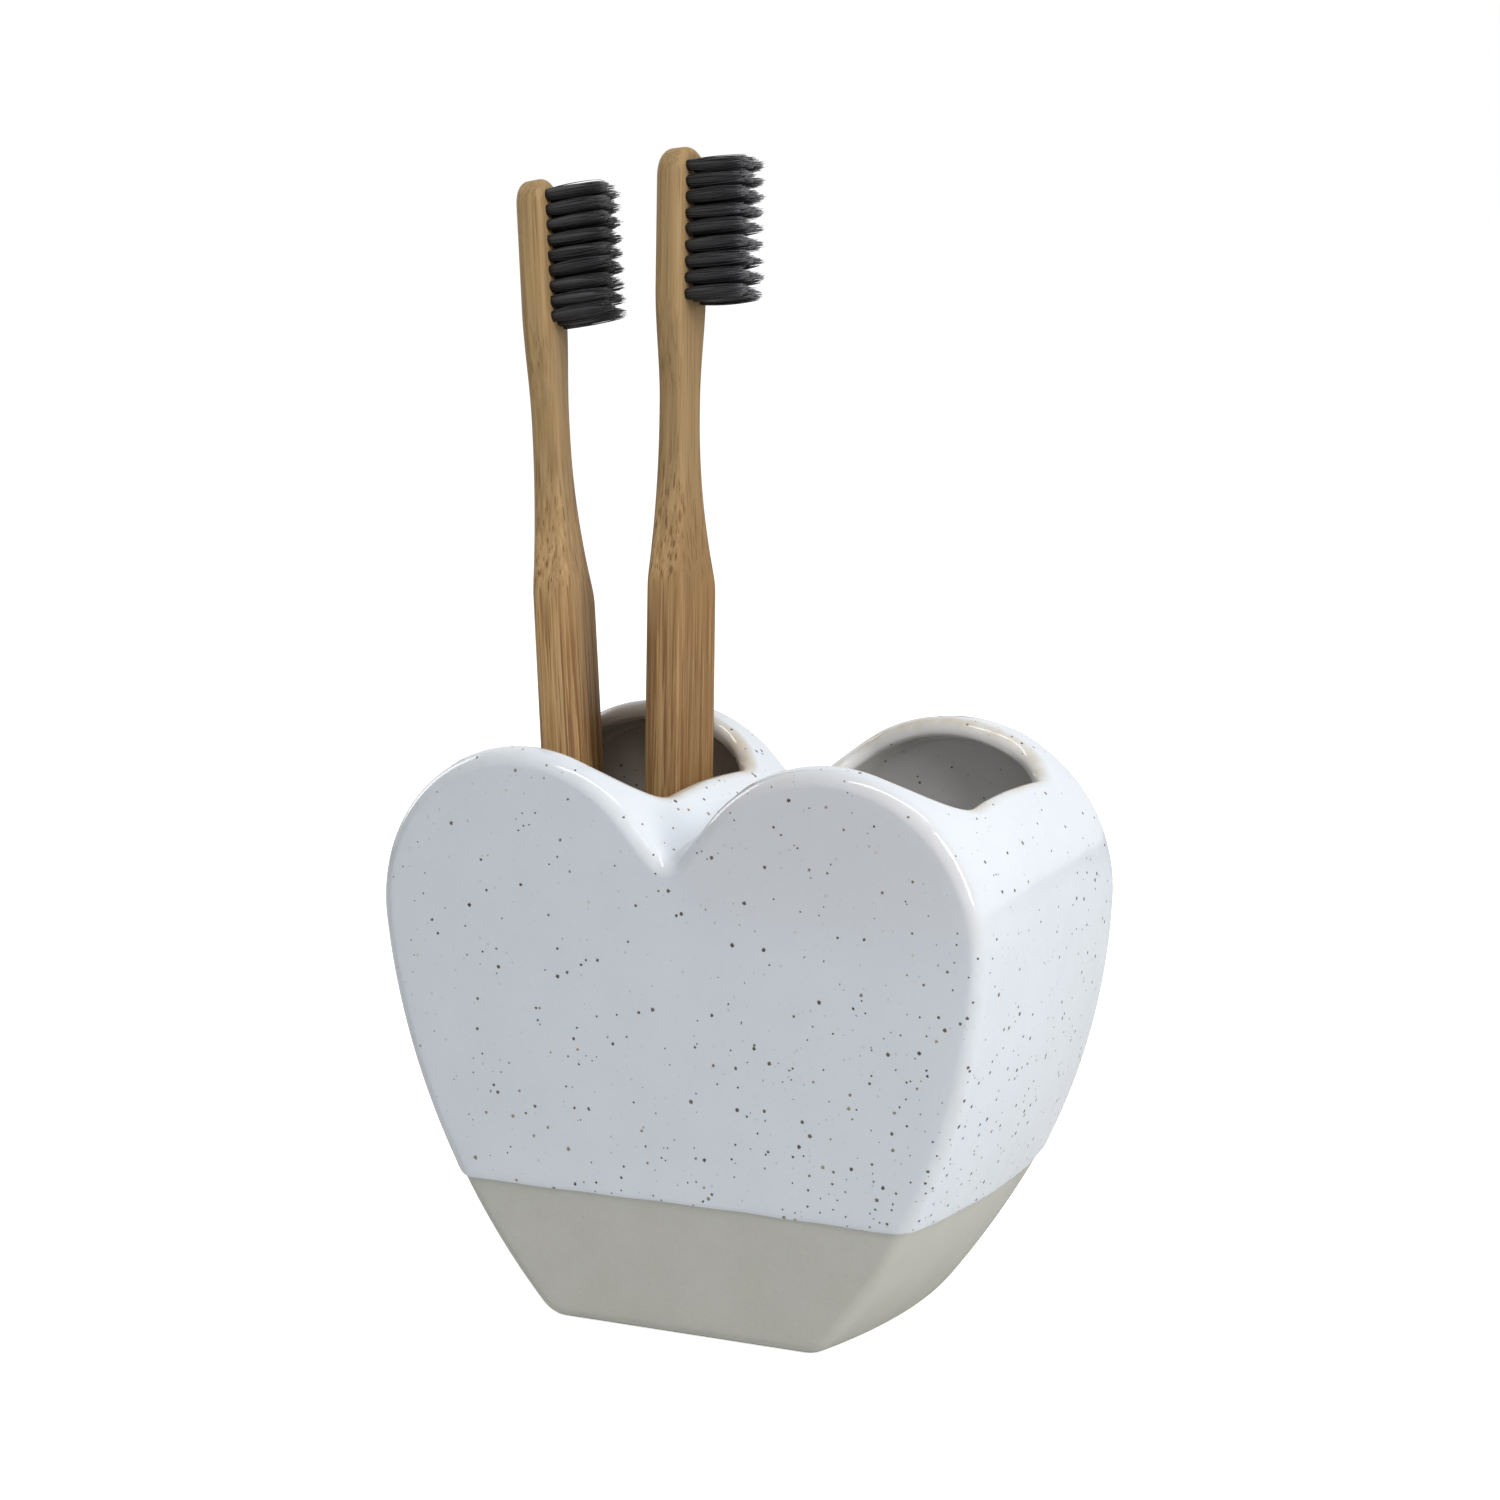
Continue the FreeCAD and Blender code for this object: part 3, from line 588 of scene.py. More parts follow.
def handle_half():
    """Half of a handle as a grid, rows along its outline from foot to tip and columns round its section.

    The outline is a foot arc, the sides at the half width of each height, and a head arc. Drawn in by
    the rounding, it carries a ball of that radius, so a row runs from the middle of the bristle face
    to its edge, round it, down the side, round the back edge and to the middle of the back.
    """
    foot_normals = direction(-np.pi / 2 * (1 - steps(HANDLE_END_STEPS)))[:-1]
    foot = [0.0, GRIP_HALF] + GRIP_HALF * foot_normals
    top_z = BRUSH_LENGTH - HEAD_HALF
    side_z = np.linspace(GRIP_HALF, top_z, HANDLE_ROWS)
    width = handle_width(side_z)
    side_normals = unit(np.stack([np.ones_like(side_z), -np.gradient(width, side_z)], axis=-1))
    sides = np.stack([width, side_z], axis=-1)
    tip_normals = direction(np.pi / 2 * steps(HANDLE_END_STEPS))[1:]
    tip = [0.0, top_z] + HEAD_HALF * tip_normals
    outline = np.concatenate([foot, sides, tip])
    normals = np.concatenate([foot_normals, side_normals, tip_normals])
    core = outline - HANDLE_ROUNDING * normals
    core[[0, -1], 0] = 0.0
    normals[[0, -1], 0] = 0.0

    turn = np.pi / 2 * (1 - steps(HANDLE_EDGE_STEPS))
    thick = handle_thickness(core[:, 1])[:, None]
    face_y = core[:, :1] * HANDLE_SHARES
    face_z = np.broadcast_to(core[:, 1:], face_y.shape)
    face_x = np.broadcast_to(thick, face_y.shape)
    edge_y = core[:, :1] + HANDLE_ROUNDING * np.cos(turn) * normals[:, :1]
    edge_z = core[:, 1:] + HANDLE_ROUNDING * np.cos(turn) * normals[:, 1:]
    edge_x = thick - HANDLE_ROUNDING * (1 - np.sin(turn))
    back_x = np.broadcast_to(HANDLE_ROUNDING * (1 - np.sin(turn)), edge_x.shape)
    x = np.concatenate([face_x, edge_x, back_x[:, ::-1], np.zeros_like(face_y)], axis=1)
    y = np.concatenate([face_y, edge_y, edge_y[:, ::-1], face_y[:, ::-1]], axis=1)
    z = np.concatenate([face_z, edge_z, edge_z[:, ::-1], face_z[:, ::-1]], axis=1)
    numbers = np.arange(x.size).reshape(x.shape)
    return np.stack([x, y, z], axis=-1).reshape(-1, 3), quads(numbers)[:, ::-1], np.empty((0, 3), int), {}


def tapered_tubes(starts, ends, sag, radii, sides):
    """Closed tubes, each from a start to an end with its middle moved by a sag, one radius per ring.

    A tube's line is the straight one plus the sag times four times the share times its rest. Rings of
    sides stand in the plane across x, and a last point closes each end.
    """
    count = len(starts)
    rings = len(radii)
    share = steps(rings - 1)
    line = starts[:, None] + share[:, None] * (ends - starts)[:, None]
    line = line + (4 * share * (1 - share))[:, None] * sag[:, None]
    ring = direction(2 * np.pi * steps(sides)[:-1])
    points = np.repeat(line[:, :, None], sides, axis=2)
    points[..., 1:] += radii[:, None, None] * ring
    caps = np.stack([line[:, 0], line[:, -1]], axis=1)
    numbers = np.arange(count * rings * sides).reshape(count, rings, sides)
    beside = np.roll(numbers, -1, axis=2)
    corners = [numbers[:, :-1], beside[:, :-1], beside[:, 1:], numbers[:, 1:]]
    cap_numbers = numbers.size + np.arange(2 * count).reshape(count, 2)
    first = np.broadcast_to(cap_numbers[:, :1], (count, sides))
    last = np.broadcast_to(cap_numbers[:, 1:], (count, sides))
    fans = np.concatenate([
        np.stack([first, beside[:, 0], numbers[:, 0]], axis=-1).reshape(-1, 3),
        np.stack([last, numbers[:, -1], beside[:, -1]], axis=-1).reshape(-1, 3),
    ])
    along = np.concatenate([np.tile(np.repeat(share, sides), count), np.tile([0.0, 1.0], count)])
    points = np.concatenate([points.reshape(-1, 3), caps.reshape(-1, 3)])
    return points, np.stack(corners, axis=-1).reshape(-1, 4), fans, along


def bristle_row(row, seed):
    """One row of tufts: filaments that leave each hole close together and spread to uneven tips.

    A filament starts at a point of the hole's disc, bows outwards, and ends about as far out as it
    began, at a length that falls towards the rim of the tuft. A plain dark core fills each tuft behind
    them.
    """
    random = np.random.default_rng(seed)
    count = COLUMNS * FILAMENTS
    columns = (np.arange(COLUMNS) - (COLUMNS - 1) / 2) * COLUMN_PITCH
    height = BRUSH_LENGTH - FIRST_ROW - row * ROW_PITCH
    holes = np.stack([columns, np.full(COLUMNS, height)], axis=-1)
    place = holes.repeat(FILAMENTS, axis=0)
    root_x = HEAD_THICK - TUFT_SINK

    spread = np.sqrt(random.uniform(0, 1, count))
    around = direction(random.uniform(0, 2 * np.pi, count))
    root = around * (spread * (TUFT_RADIUS - RIM_MARGIN))[:, None]
    lean = random.normal(0, TUFT_LEAN, (COLUMNS, 2))
    droop = lean.repeat(FILAMENTS, axis=0)
    tip = root * random.uniform(*TIP_SPREAD, (count, 1)) + droop
    tip = tip + random.normal(0, FILAMENT_SCATTER, (count, 2))
    length = TUFT_LENGTH * (1 - RIM_SHORTER * spread ** 2 + random.normal(0, LENGTH_SCATTER, count))
    bow = around * (BOW * spread)[:, None] + BOW_LEAN * droop
    bow = bow + random.normal(0, FILAMENT_SCATTER, (count, 2))
    starts = np.column_stack([np.full(count, root_x), place + root])
    ends = np.column_stack([HEAD_THICK + length, place + tip])
    sag = np.column_stack([np.zeros(count), bow])
    hair = tapered_tubes(starts, ends, sag, FILAMENT_RADII, FILAMENT_SIDES)

    core_starts = np.column_stack([np.full(COLUMNS, root_x), holes])
    core_ends = core_starts + np.column_stack([np.full(COLUMNS, CORE_LENGTH), CORE_LEAN * lean])
    core_sag = np.column_stack([np.zeros(COLUMNS), BOW_LEAN * lean])
    core = tapered_tubes(core_starts, core_ends, core_sag, CORE_RADII, CORE_SIDES)
    shift = len(hair[0])
    points = np.concatenate([hair[0], core[0]])
    faces = np.concatenate([hair[1], core[1] + shift])
    fans = np.concatenate([hair[2], core[2] + shift])
    return points, faces, fans, {"along": np.concatenate([hair[3], core[3] * CORE_TIP_LIGHT])}


def brush_frame(side):
    """Origin and axes of a brush: foot where the solid has it, length along its lift, bristles turned."""
    lift = next(joint for joint in frame["joints"] if joint["child"] == side + "_brush")
    z_axis = unit(np.array(lift["axis"]))
    bristles = np.array([np.cos(TURN[side]), np.sin(TURN[side]), 0.0])
    x_axis = unit(bristles - (bristles @ z_axis) * z_axis)
    axes = np.stack([x_axis, np.cross(z_axis, x_axis), z_axis])
    mesh = frame["nodes"][side + "_brush_handle"].data
    solid = np.empty(len(mesh.vertices) * 3, np.float32)
    mesh.vertices.foreach_get("co", solid)
    local = solid.reshape(-1, 3) / MM @ axes.T
    low, high = local.min(axis=0), local.max(axis=0)
    origin = np.array([low[0], (low[1] + high[1]) / 2, low[2]]) @ axes
    return origin, axes


def add(tree, kind, **settings):
    """New shader node of a kind with its settings."""
    node = tree.nodes.new(kind)
    for name, value in settings.items():
        setattr(node, name, value)
    return node


def feed(tree, socket, value):
    """A socket gets a link from another socket, or a plain value, or a colour without its alpha."""
    if isinstance(value, bpy.types.NodeSocket):
        tree.links.new(value, socket)
    elif socket.type == "RGBA":
        socket.default_value = (*value, 1.0)
    else:
        socket.default_value = value


def maths(tree, operation, first, second):
    node = add(tree, "ShaderNodeMath", operation=operation)
    feed(tree, node.inputs[0], first)
    feed(tree, node.inputs[1], second)
    return node.outputs[0]


def product(tree, first, second):
    return maths(tree, "MULTIPLY", first, second)


def total(tree, first, second):
    return maths(tree, "ADD", first, second)


def ranged(tree, value, low, high, start=0.0, end=1.0, smooth=False):
    """Value carried from low..high to start..end and held there outside it."""
    node = add(tree, "ShaderNodeMapRange", interpolation_type="SMOOTHSTEP" if smooth else "LINEAR")
    for socket, item in zip(node.inputs, (value, low, high, start, end)):
        feed(tree, socket, item)
    return node.outputs[0]


def by_noise(tree, value, start, end):
    """A noise, which lies mostly between 0.3 and 0.7, carried to start..end."""
    return ranged(tree, value, 0.3, 0.7, start, end)


def scaled(tree, vector, factors):
    node = add(tree, "ShaderNodeVectorMath", operation="MULTIPLY")
    feed(tree, node.inputs[0], vector)
    feed(tree, node.inputs[1], factors)
    return node.outputs[0]


def parts_of(tree, vector):
    """The x, y and z of a vector."""
    node = add(tree, "ShaderNodeSeparateXYZ")
    feed(tree, node.inputs[0], vector)
    return node.outputs


def noise(tree, vector, scale, detail=3.0, roughness=0.5, distortion=0.0):
    node = add(tree, "ShaderNodeTexNoise")
    feed(tree, node.inputs["Vector"], vector)
    feed(tree, node.inputs["Scale"], scale)
    feed(tree, node.inputs["Detail"], detail)
    feed(tree, node.inputs["Roughness"], roughness)
    feed(tree, node.inputs["Distortion"], distortion)
    return node.outputs[0]


def mixed(tree, factor, first, second):
    """Colour between a first and a second, which are inputs 6 and 7 of a mix of colours."""
    node = add(tree, "ShaderNodeMix", data_type="RGBA")
    feed(tree, node.inputs["Factor"], factor)
    feed(tree, node.inputs[6], first)
    feed(tree, node.inputs[7], second)
    return node.outputs[2]


def ramp(tree, value, stops):
    node = add(tree, "ShaderNodeValToRGB")
    feed(tree, node.inputs[0], value)
    elements = node.color_ramp.elements
    while len(elements) < len(stops):
        elements.new(1.0)
    for element, (place, colour) in zip(elements, stops):
        element.position = place
        element.color = (*colour, 1.0)
    return node.outputs[0]


def new_group(name, inputs, outputs):
    """Empty node group with its named inputs and outputs, all plain numbers but for a Vector."""
    tree = bpy.data.node_groups.new(name, "ShaderNodeTree")
    for labels, way in ((inputs, "INPUT"), (outputs, "OUTPUT")):
        for label in labels:
            kind = "NodeSocketVector" if label == "Vector" else "NodeSocketFloat"
            tree.interface.new_socket(label, in_out=way, socket_type=kind)
    return tree, add(tree, "NodeGroupInput").outputs, add(tree, "NodeGroupOutput").inputs


def place_group(tree, group, **values):
    node = add(tree, "ShaderNodeGroup", node_tree=group)
    for label, value in values.items():
        feed(tree, node.inputs[label], value)
    return node.outputs


def make_specks():
    """Round spots of uneven size scattered through space, each with a tone of its own.

    Every cell of a Voronoi pattern holds one spot. The cell's colour follows the spot's place in the
    cell, so white noise shuffles it before it sets the radius, whether the spot shows, and its tone. A
    fine noise frays the edge.
    """
    fray_scale = 7.0
    fray_range = (0.75, 1.25)
    size_power = 2.2
    smallest = 0.42
    full_share = 0.72
    tree, given, made = new_group("specks", ("Vector", "Scale", "Radius", "Share"), ("Mask", "Tone"))
    cells = add(tree, "ShaderNodeTexVoronoi")
    feed(tree, cells.inputs["Vector"], given["Vector"])
    feed(tree, cells.inputs["Scale"], given["Scale"])
    shuffled = add(tree, "ShaderNodeTexWhiteNoise")
    feed(tree, shuffled.inputs["Vector"], cells.outputs["Color"])
    chance = add(tree, "ShaderNodeSeparateColor")
    feed(tree, chance.inputs[0], shuffled.outputs["Color"])
    size_chance, shown_chance, tone = chance.outputs
    fray = noise(tree, given["Vector"], product(tree, given["Scale"], fray_scale), 2.0)
    frayed = product(tree, by_noise(tree, fray, *fray_range), given["Radius"])
    size = ranged(tree, maths(tree, "POWER", size_chance, size_power), 0.0, 1.0, smallest, 1.0)
    radius = product(tree, frayed, size)
    spot = ranged(tree, cells.outputs["Distance"], radius, product(tree, radius, full_share), smooth=True)
    shown = maths(tree, "LESS_THAN", shown_chance, given["Share"])
    feed(tree, made["Mask"], product(tree, spot, shown))
    feed(tree, made["Tone"], tone)
    return tree


def make_grain():
    """Two noises, one coarse and one fine, as a mottle for colour and a height for relief."""
    tree, given, made = new_group("grain", ("Vector", "Coarse", "Fine"), ("Mottle", "Height"))
    coarse = noise(tree, given["Vector"], given["Coarse"], 4.0, 0.55)
    fine = noise(tree, given["Vector"], given["Fine"], 3.0, 0.6)
    feed(tree, made["Mottle"], total(tree, product(tree, coarse, 0.6), product(tree, fine, 0.4)))
    feed(tree, made["Height"], fine)
    return tree


def new_material(name):
    material = bpy.data.materials.new(name)
    material.use_nodes = True
    tree = material.node_tree
    return material, tree, tree.nodes["Principled BSDF"].inputs


def raise_surface(tree, shader, height, strength, distance):
    bump = add(tree, "ShaderNodeBump")
    feed(tree, bump.inputs["Strength"], strength)
    feed(tree, bump.inputs["Distance"], distance)
    feed(tree, bump.inputs["Height"], height)
    feed(tree, shader["Normal"], bump.outputs[0])


def own_place(tree):
    return add(tree, "ShaderNodeTexCoord").outputs["Object"]


def attribute(tree, name, output="Fac"):
    return add(tree, "ShaderNodeAttribute", attribute_name=name).outputs[output]


def make_glaze(specks, grain):
    """Glossy white glaze with iron specks in clusters, more of them towards the lower right.

    It is cream where it is thin. Painted shade greys the upper right of the front a little and darkens
    the left mouth's inside, where the brushes shade it; painted light lifts the right mouth's inside.
    """
    whites = [(0.3, (0.70, 0.745, 0.80)), (0.7, (0.73, 0.775, 0.83))]
    right_inside_painted_light = (0.82, 0.81, 0.79)
    left_inside_painted_shade = (0.44, 0.39, 0.33)
    painted_front_shade = (0.60, 0.56, 0.56)
    cream = (0.5, 0.41, 0.27)
    faint_brown = (0.42, 0.36, 0.25)
    irons = [(0.0, (0.02, 0.012, 0.006)), (0.45, (0.055, 0.032, 0.013)),
             (0.8, (0.11, 0.075, 0.035)), (1.0, (0.32, 0.26, 0.16))]
    material, tree, shader = new_material("speckled_glaze")
    place = own_place(tree)
    x, y, z = parts_of(tree, place)
    lower_right = product(tree, ranged(tree, x, -0.02, 0.012), ranged(tree, z, 0.062, 0.032))
    cluster = ranged(tree, noise(tree, place, 60.0, 2.0), 0.4, 0.6, 0.18, 0.6)
    share = total(tree, cluster, product(tree, lower_right, 0.7))
    bold = place_group(tree, specks, Vector=place, Scale=660.0, Radius=0.27, Share=share)
    faint = place_group(tree, specks, Vector=place, Scale=760.0, Radius=0.22, Share=0.45)
    mottle = place_group(tree, grain, Vector=place, Coarse=70.0, Fine=900.0)["Mottle"]

    # Painted shade: the upper right of the front face is greyed, for the dimmer light it gets there.
    upper_right = product(tree, ranged(tree, x, -0.006, 0.012), ranged(tree, z, 0.058, 0.08, smooth=True))
    front_shade_share = product(tree, upper_right, ranged(tree, y, -0.0235, -0.0258, 0.0, 0.32))
    front = mixed(tree, front_shade_share, ramp(tree, mottle, whites), painted_front_shade)
    # Painted light and shade inside the mouths: painted shade darkens and browns the left one, where the
    # brushes shade it, and painted light makes the right one lighter and warmer.
    inside_light_and_shade = mixed(tree, ranged(tree, x, 0.006, -0.006), right_inside_painted_light, left_inside_painted_shade)
    inside_shaded = mixed(tree, product(tree, attribute(tree, "inside"), 0.85), front, inside_light_and_shade)
    patchy = ranged(tree, noise(tree, place, 160.0, 3.0), 0.35, 0.62, 0.08, 0.7)
    warmed = mixed(tree, product(tree, attribute(tree, "thin"), patchy), inside_shaded, cream)
    hazy = mixed(tree, product(tree, faint["Mask"], 0.35), warmed, faint_brown)
    iron = ramp(tree, bold["Tone"], irons)
    feed(tree, shader["Base Color"], mixed(tree, product(tree, bold["Mask"], 0.92), hazy, iron))
    feed(tree, shader["Roughness"], by_noise(tree, mottle, 0.07, 0.16))
    feed(tree, shader["IOR"], 1.52)
    height = total(tree, noise(tree, place, 85.0, 2.0), product(tree, bold["Mask"], -0.06))
    raise_surface(tree, shader, height, 0.25, 0.0009)
    return material


def make_clay(specks, grain):
    """Bare fired clay: matt, warm grey, with a fine sandy grain and a few dark and pale grits."""
    greys = [(0.3, (0.495, 0.495, 0.445)), (0.5, (0.525, 0.525, 0.475)), (0.7, (0.555, 0.555, 0.505))]
    grits = [(0.0, (0.28, 0.25, 0.19)), (0.7, (0.40, 0.38, 0.31)), (1.0, (0.70, 0.69, 0.64))]
    material, tree, shader = new_material("bare_stoneware")
    place = own_place(tree)
    sand = place_group(tree, grain, Vector=place, Coarse=110.0, Fine=2600.0)
    grit = place_group(tree, specks, Vector=place, Scale=900.0, Radius=0.16, Share=0.5)
    body = ramp(tree, sand["Mottle"], greys)
    grit_share = product(tree, grit["Mask"], 0.45)
    feed(tree, shader["Base Color"], mixed(tree, grit_share, body, ramp(tree, grit["Tone"], grits)))
    feed(tree, shader["Roughness"], by_noise(tree, sand["Mottle"], 0.78, 0.92))
    raise_surface(tree, shader, sand["Height"], 0.35, 0.00012)
    return material


def make_bamboo(specks):
    """Sanded bamboo: long fibres, with darker bundles that are streaks on a face and flecks in a cut.

    The pattern lives in the brush's own frame. Squeezing its length draws every spot out along the
    fibres, so a surface that slopes through them cuts the drawn-out spots short. The bristle face is
    browner, partly its own tone and partly painted shade, which is strongest on the right brush; the grip
    is streaked along its length.
    """
    fibres = [(0.4, (0.34, 0.195, 0.08)), (0.5, (0.49, 0.305, 0.138)), (0.6, (0.61, 0.4, 0.195))]
    face_brown_and_shade = (0.25, 0.132, 0.05)
    neck_olive = (0.24, 0.17, 0.082)
    dark_streak = (0.20, 0.095, 0.033)
    pale_streak = (0.48, 0.33, 0.17)
    bundle_brown = (0.15, 0.075, 0.026)
    squeeze = 0.02
    material, tree, shader = new_material("bamboo")
    place = attribute(tree, "grain_place", "Vector")
    x, y, z = parts_of(tree, place)
    long_way = scaled(tree, place, (1.0, 1.0, squeeze))
    fibre = noise(tree, long_way, 2200.0, 3.0, 0.6)
    broad = noise(tree, long_way, 1050.0, 3.0, 0.55, 0.2)
    bundles = place_group(tree, specks, Vector=long_way, Scale=2500.0, Radius=0.58, Share=0.8)
    tone = total(tree, product(tree, fibre, 0.55), product(tree, broad, 0.45))

    # Painted shade: the bristle face's own brown is laid on far more strongly on the right brush, to shade
    # the face that the key lamp lights.
    right_brush_shade = ranged(tree, y, 0.4 * GRAIN_APART * MM, 0.6 * GRAIN_APART * MM, 0.15, 0.75)
    face = product(tree, ranged(tree, x, 0.0040, 0.0064, smooth=True), right_brush_shade)
    face_toned_and_shaded = mixed(tree, face, ramp(tree, tone, fibres), face_brown_and_shade)
    necked = mixed(tree, ranged(tree, z, 0.105, 0.13, 0.0, 0.6), face_toned_and_shaded, neck_olive)
    grip = ranged(tree, z, 0.118, 0.098, smooth=True)
    dark_line = product(tree, grip, ranged(tree, broad, 0.5, 0.54, 0.0, 0.85))
    pale_line = product(tree, grip, ranged(tree, fibre, 0.54, 0.6, 0.0, 0.45))
    streaked = mixed(tree, pale_line, mixed(tree, dark_line, necked, dark_streak), pale_streak)
    cut_start = ranged(tree, z, 0.104, 0.114, smooth=True)
    cut_end = ranged(tree, z, 0.138, 0.122, smooth=True)
    cut_depth = product(tree, product(tree, cut_start, cut_end), 0.4)
    depth = total(tree, ranged(tree, bundles["Tone"], 0.0, 1.0, 0.15, 0.5), cut_depth)
    fleck = product(tree, bundles["Mask"], depth)
    feed(tree, shader["Base Color"], mixed(tree, fleck, streaked, bundle_brown))
    feed(tree, shader["Roughness"], by_noise(tree, tone, 0.5, 0.66))
    feed(tree, shader["Specular IOR Level"], 0.22)
    raise_surface(tree, shader, fibre, 0.3, 0.00008)
    return material


def make_bristle(grain):
    """Charcoal filament, near black at the root and greyer where the thin tip lets light through."""
    greys = [(0.0, (0.009, 0.009, 0.010)), (0.7, (0.016, 0.016, 0.019)),
             (0.9, (0.05, 0.05, 0.055)), (1.0, (0.16, 0.16, 0.17))]
    material, tree, shader = new_material("charcoal_bristle")
    mottle = place_group(tree, grain, Vector=own_place(tree), Coarse=900.0, Fine=4000.0)["Mottle"]
    # Painted light: the tips turn greyer, standing in for light let through the thin ends.
    tip_light = total(tree, attribute(tree, "along"), by_noise(tree, mottle, -0.08, 0.08))
    feed(tree, shader["Base Color"], ramp(tree, tip_light, greys))
    feed(tree, shader["Roughness"], by_noise(tree, mottle, 0.38, 0.55))
    return material


def make_brass():
    """Plain brass strip with the fine lines that rolling leaves."""
    brasses = [(0.3, (0.55, 0.38, 0.15)), (0.7, (0.72, 0.54, 0.26))]
    material, tree, shader = new_material("anchor_brass")
    lines = noise(tree, scaled(tree, own_place(tree), (1.0, 1.0, 0.05)), 9000.0, 2.0)
    feed(tree, shader["Base Color"], ramp(tree, lines, brasses))
    feed(tree, shader["Metallic"], 1.0)
    feed(tree, shader["Roughness"], by_noise(tree, lines, 0.25, 0.42))
    return material


def dress(piece, material, body, slot, *nodes):
    """Give a piece its material and body, and hide the solids that it stands for; its finish slot is not
    used.
    """
    piece.data.materials.append(material)
    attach(piece, body)
    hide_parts(*nodes)


def build_holder(specks, grain):
    """Glaze over the outside and down the inside, and the clay one glaze's thickness within it."""
    glaze_inside = (-WALL - GLAZE, CHAMBER_ROUNDING - GLAZE, FLOOR + GLAZE)
    glaze = heart_piece("glaze", (0.0, EDGE_ROUNDING, 0.0), glaze_inside, 0.0)
    end_glaze_at_line(glaze)
    dress(glaze, make_glaze(specks, grain), "holder", "glaze", "glaze_coat")
    clay_outside = (-GLAZE, EDGE_ROUNDING - GLAZE, 0.0)
    clay = heart_piece("clay", clay_outside, (-WALL, CHAMBER_ROUNDING, FLOOR), GLAZE)
    dress(clay, make_clay(specks, grain), "holder", "stoneware", "clay_body")


def build_brush(side, number, bamboo, charcoal, brass):
    """Handle and rows of bristles in the place of a brush's solids. Its anchors stay as they are."""
    body = side + "_brush"
    origin, axes = brush_frame(side)
    points, faces, fans, _ = both_halves(*handle_half(), [1, -1, 1])
    grain_place = (points + [0.0, GRAIN_APART * number, 0.0]) * MM
    handle = new_piece(side + "_handle", origin + points @ axes, sound_faces(faces, fans),
                       {"grain_place": grain_place})
    dress(handle, bamboo, body, "bamboo", body + "_handle")
    for row in range(ROWS):
        points, faces, fans, marks = bristle_row(row, SEEDS_PER_BRUSH * number + row)
        tufts = new_piece(f"{side}_bristles_{row + 1}", origin + points @ axes,
                          faces.tolist() + fans.tolist(), marks)
        dress(tufts, charcoal, body, "bristle", f"{body}_tuft_row_{row + 1}")
    frame["nodes"][body + "_anchors"].material_slots[0].material = brass


def make_floor():
    """White table top that stays white to the camera, and shows the soft shadow on it."""
    reach = 12.0
    corners = [(-reach, -reach, 0), (reach, -reach, 0), (reach, reach, 0), (-reach, reach, 0)]
    mesh = bpy.data.meshes.new("table")
    mesh.from_pydata(corners, [], [(0, 1, 2, 3)])
    floor = bpy.data.objects.new("table", mesh)
    bpy.context.scene.collection.objects.link(floor)
    material, tree, shader = new_material("white_table")
    seen = add(tree, "ShaderNodeLightPath").outputs["Is Camera Ray"]
    feed(tree, shader["Base Color"], (0.82, 0.82, 0.82))
    feed(tree, shader["Roughness"], 0.9)
    feed(tree, shader["Specular IOR Level"], 0.0)
    feed(tree, shader["Emission Color"], (1.0, 1.0, 1.0))
    feed(tree, shader["Emission Strength"], product(tree, seen, 0.86))
    mesh.materials.append(material)


def sky(tree, colour, strength):
    node = add(tree, "ShaderNodeBackground")
    feed(tree, node.inputs["Color"], colour)
    feed(tree, node.inputs["Strength"], strength)
    return node.outputs[0]


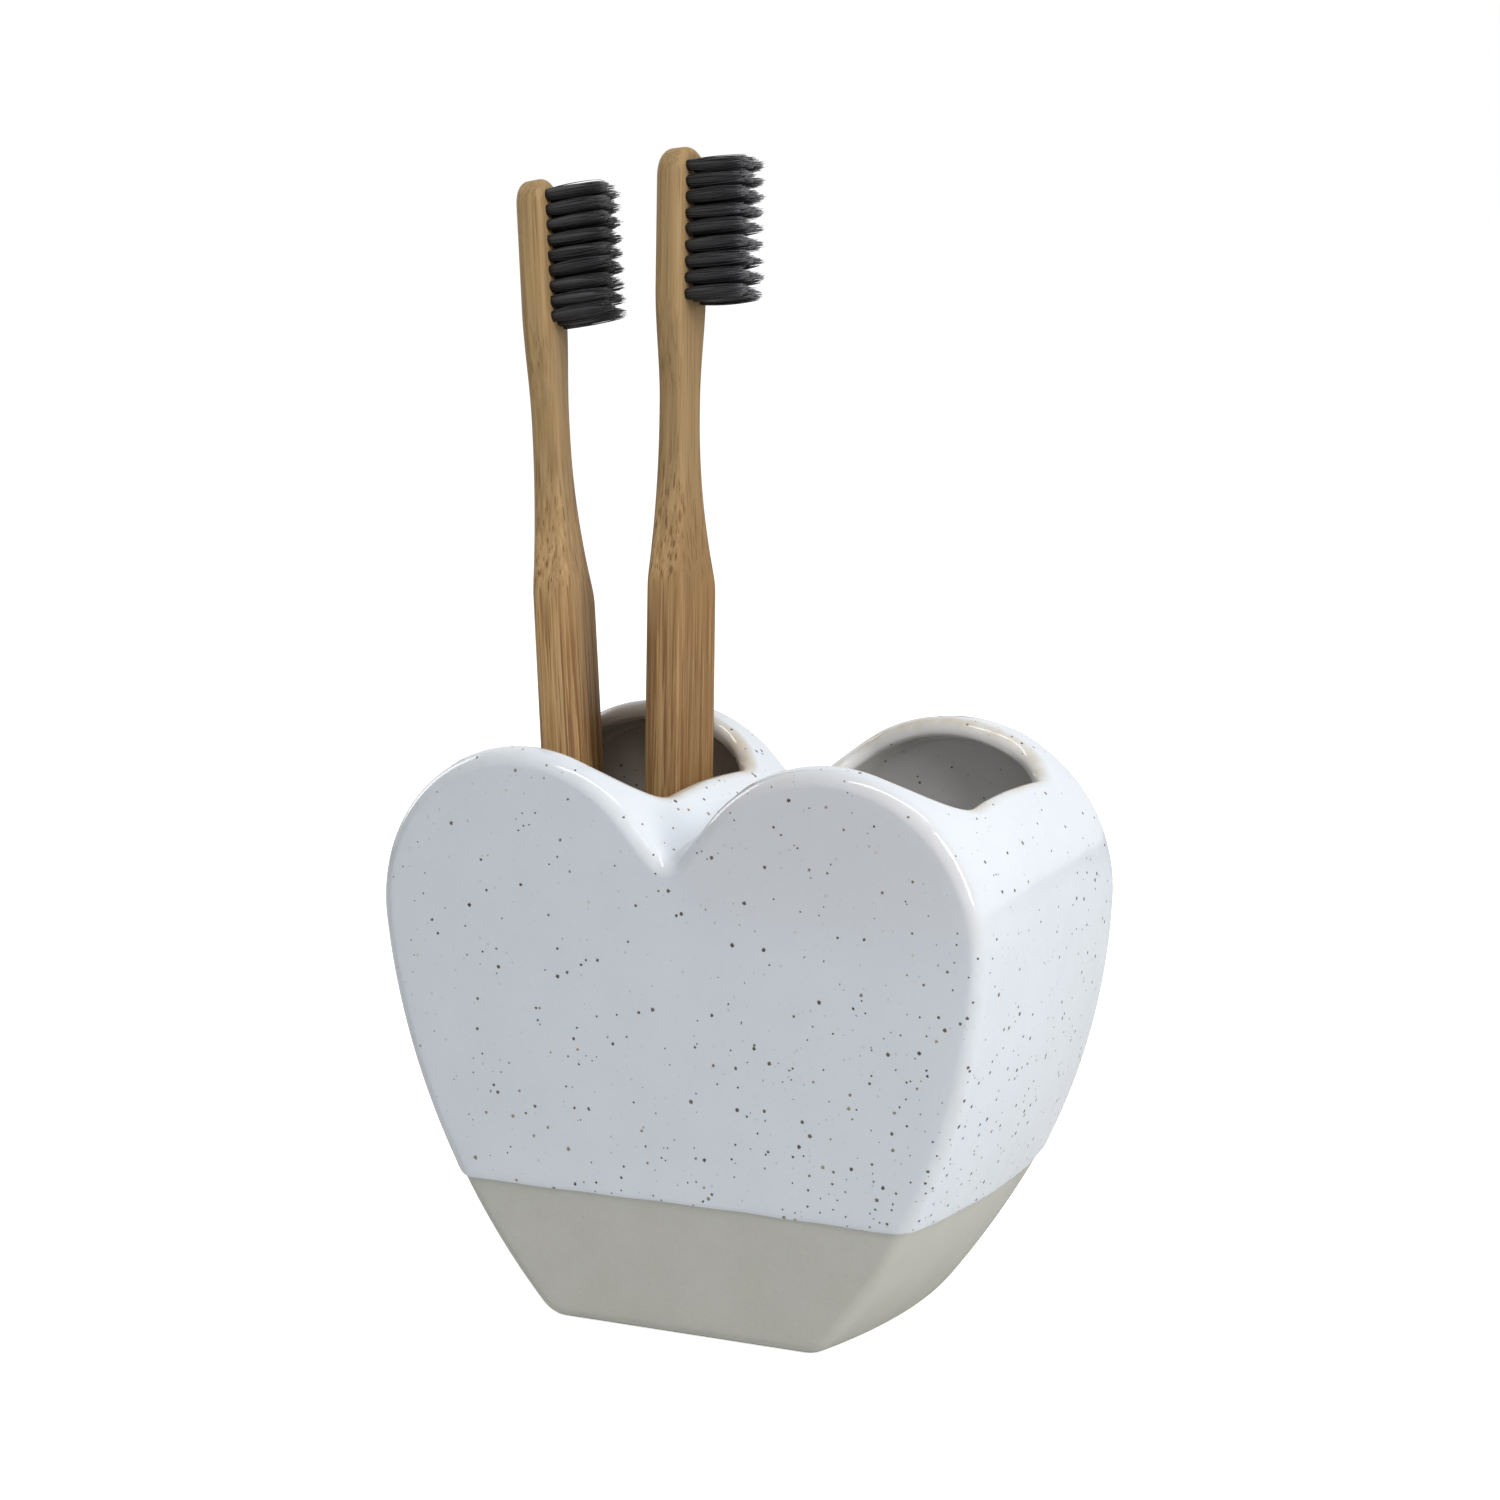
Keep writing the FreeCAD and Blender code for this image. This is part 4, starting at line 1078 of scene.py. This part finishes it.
def make_world():
    """Soft even light, with a white background for what the camera or a reflection sees directly."""
    world = bpy.data.worlds.new("studio")
    world.use_nodes = True
    bpy.context.scene.world = world
    tree = world.node_tree
    tree.nodes.clear()
    path = add(tree, "ShaderNodeLightPath").outputs
    direct = maths(tree, "MAXIMUM", path["Is Camera Ray"], path["Is Glossy Ray"])
    direct = maths(tree, "MAXIMUM", direct, path["Is Transmission Ray"])
    both = add(tree, "ShaderNodeMixShader")
    feed(tree, both.inputs[0], direct)
    feed(tree, both.inputs[1], sky(tree, (0.94, 0.97, 1.0), 0.27))
    feed(tree, both.inputs[2], sky(tree, (1.0, 1.0, 1.0), 1.0))
    out = add(tree, "ShaderNodeOutputWorld")
    feed(tree, out.inputs[0], both.outputs[0])


def put_in_scene(name, data, right, up, place):
    """Lamp or camera at a place, looking away from the cross product of its right and up."""
    turn = np.eye(4)
    turn[:3, 0] = right
    turn[:3, 1] = up
    turn[:3, 2] = np.cross(right, up)
    turn[:3, 3] = place
    thing = bpy.data.objects.new(name, data)
    thing.matrix_world = Matrix(turn.tolist())
    bpy.context.scene.collection.objects.link(thing)
    return thing


def make_lamp(name, place, size, power, colour):
    lamp = bpy.data.lights.new(name, "AREA")
    lamp.shape = "RECTANGLE"
    lamp.size, lamp.size_y = size
    lamp.energy = power
    lamp.color = colour
    ahead = unit(np.array(LAMP_TARGET) - np.array(place))
    right = unit(np.cross(ahead, [0.0, 0.0, 1.0]))
    put_in_scene(name, lamp, right, np.cross(right, ahead), place)


def make_camera():
    """Camera at the photograph's place: its right and down axes in the object's frame, and its lens."""
    right = unit(np.array([0.88233, 0.47002, -0.02403]))
    down = unit(np.array([0.05616, -0.15584, -0.98618]))
    data = bpy.data.cameras.new("camera")
    data.sensor_fit = "HORIZONTAL"
    data.sensor_width = 36.0
    data.lens = 81.68
    data.clip_start = 0.01
    camera = put_in_scene("camera", data, right, -down, (0.25497, -0.47205, 0.17860))
    bpy.context.scene.camera = camera


speck_group = make_specks()
grain_group = make_grain()
build_holder(speck_group, grain_group)

bamboo_look = make_bamboo(speck_group)
charcoal_look = make_bristle(grain_group)
brass_look = make_brass()
build_brush("left", 0, bamboo_look, charcoal_look, brass_look)
build_brush("right", 1, bamboo_look, charcoal_look, brass_look)

make_floor()
make_world()
make_lamp("key_window", place=(0.86, -0.27, 0.62), size=(0.22, 0.7), power=7.3, colour=(1.0, 0.985, 0.96))
make_lamp("top_strip", place=(0.15, -0.17, 0.95), size=(1.0, 0.1), power=3.0, colour=(1.0, 1.0, 1.0))
make_lamp("left_fill", place=(-0.85, 0.2, 0.4), size=(0.3, 0.5), power=1.6, colour=(1.0, 1.0, 1.0))
make_camera()
bpy.context.scene.view_settings.view_transform = "Standard"
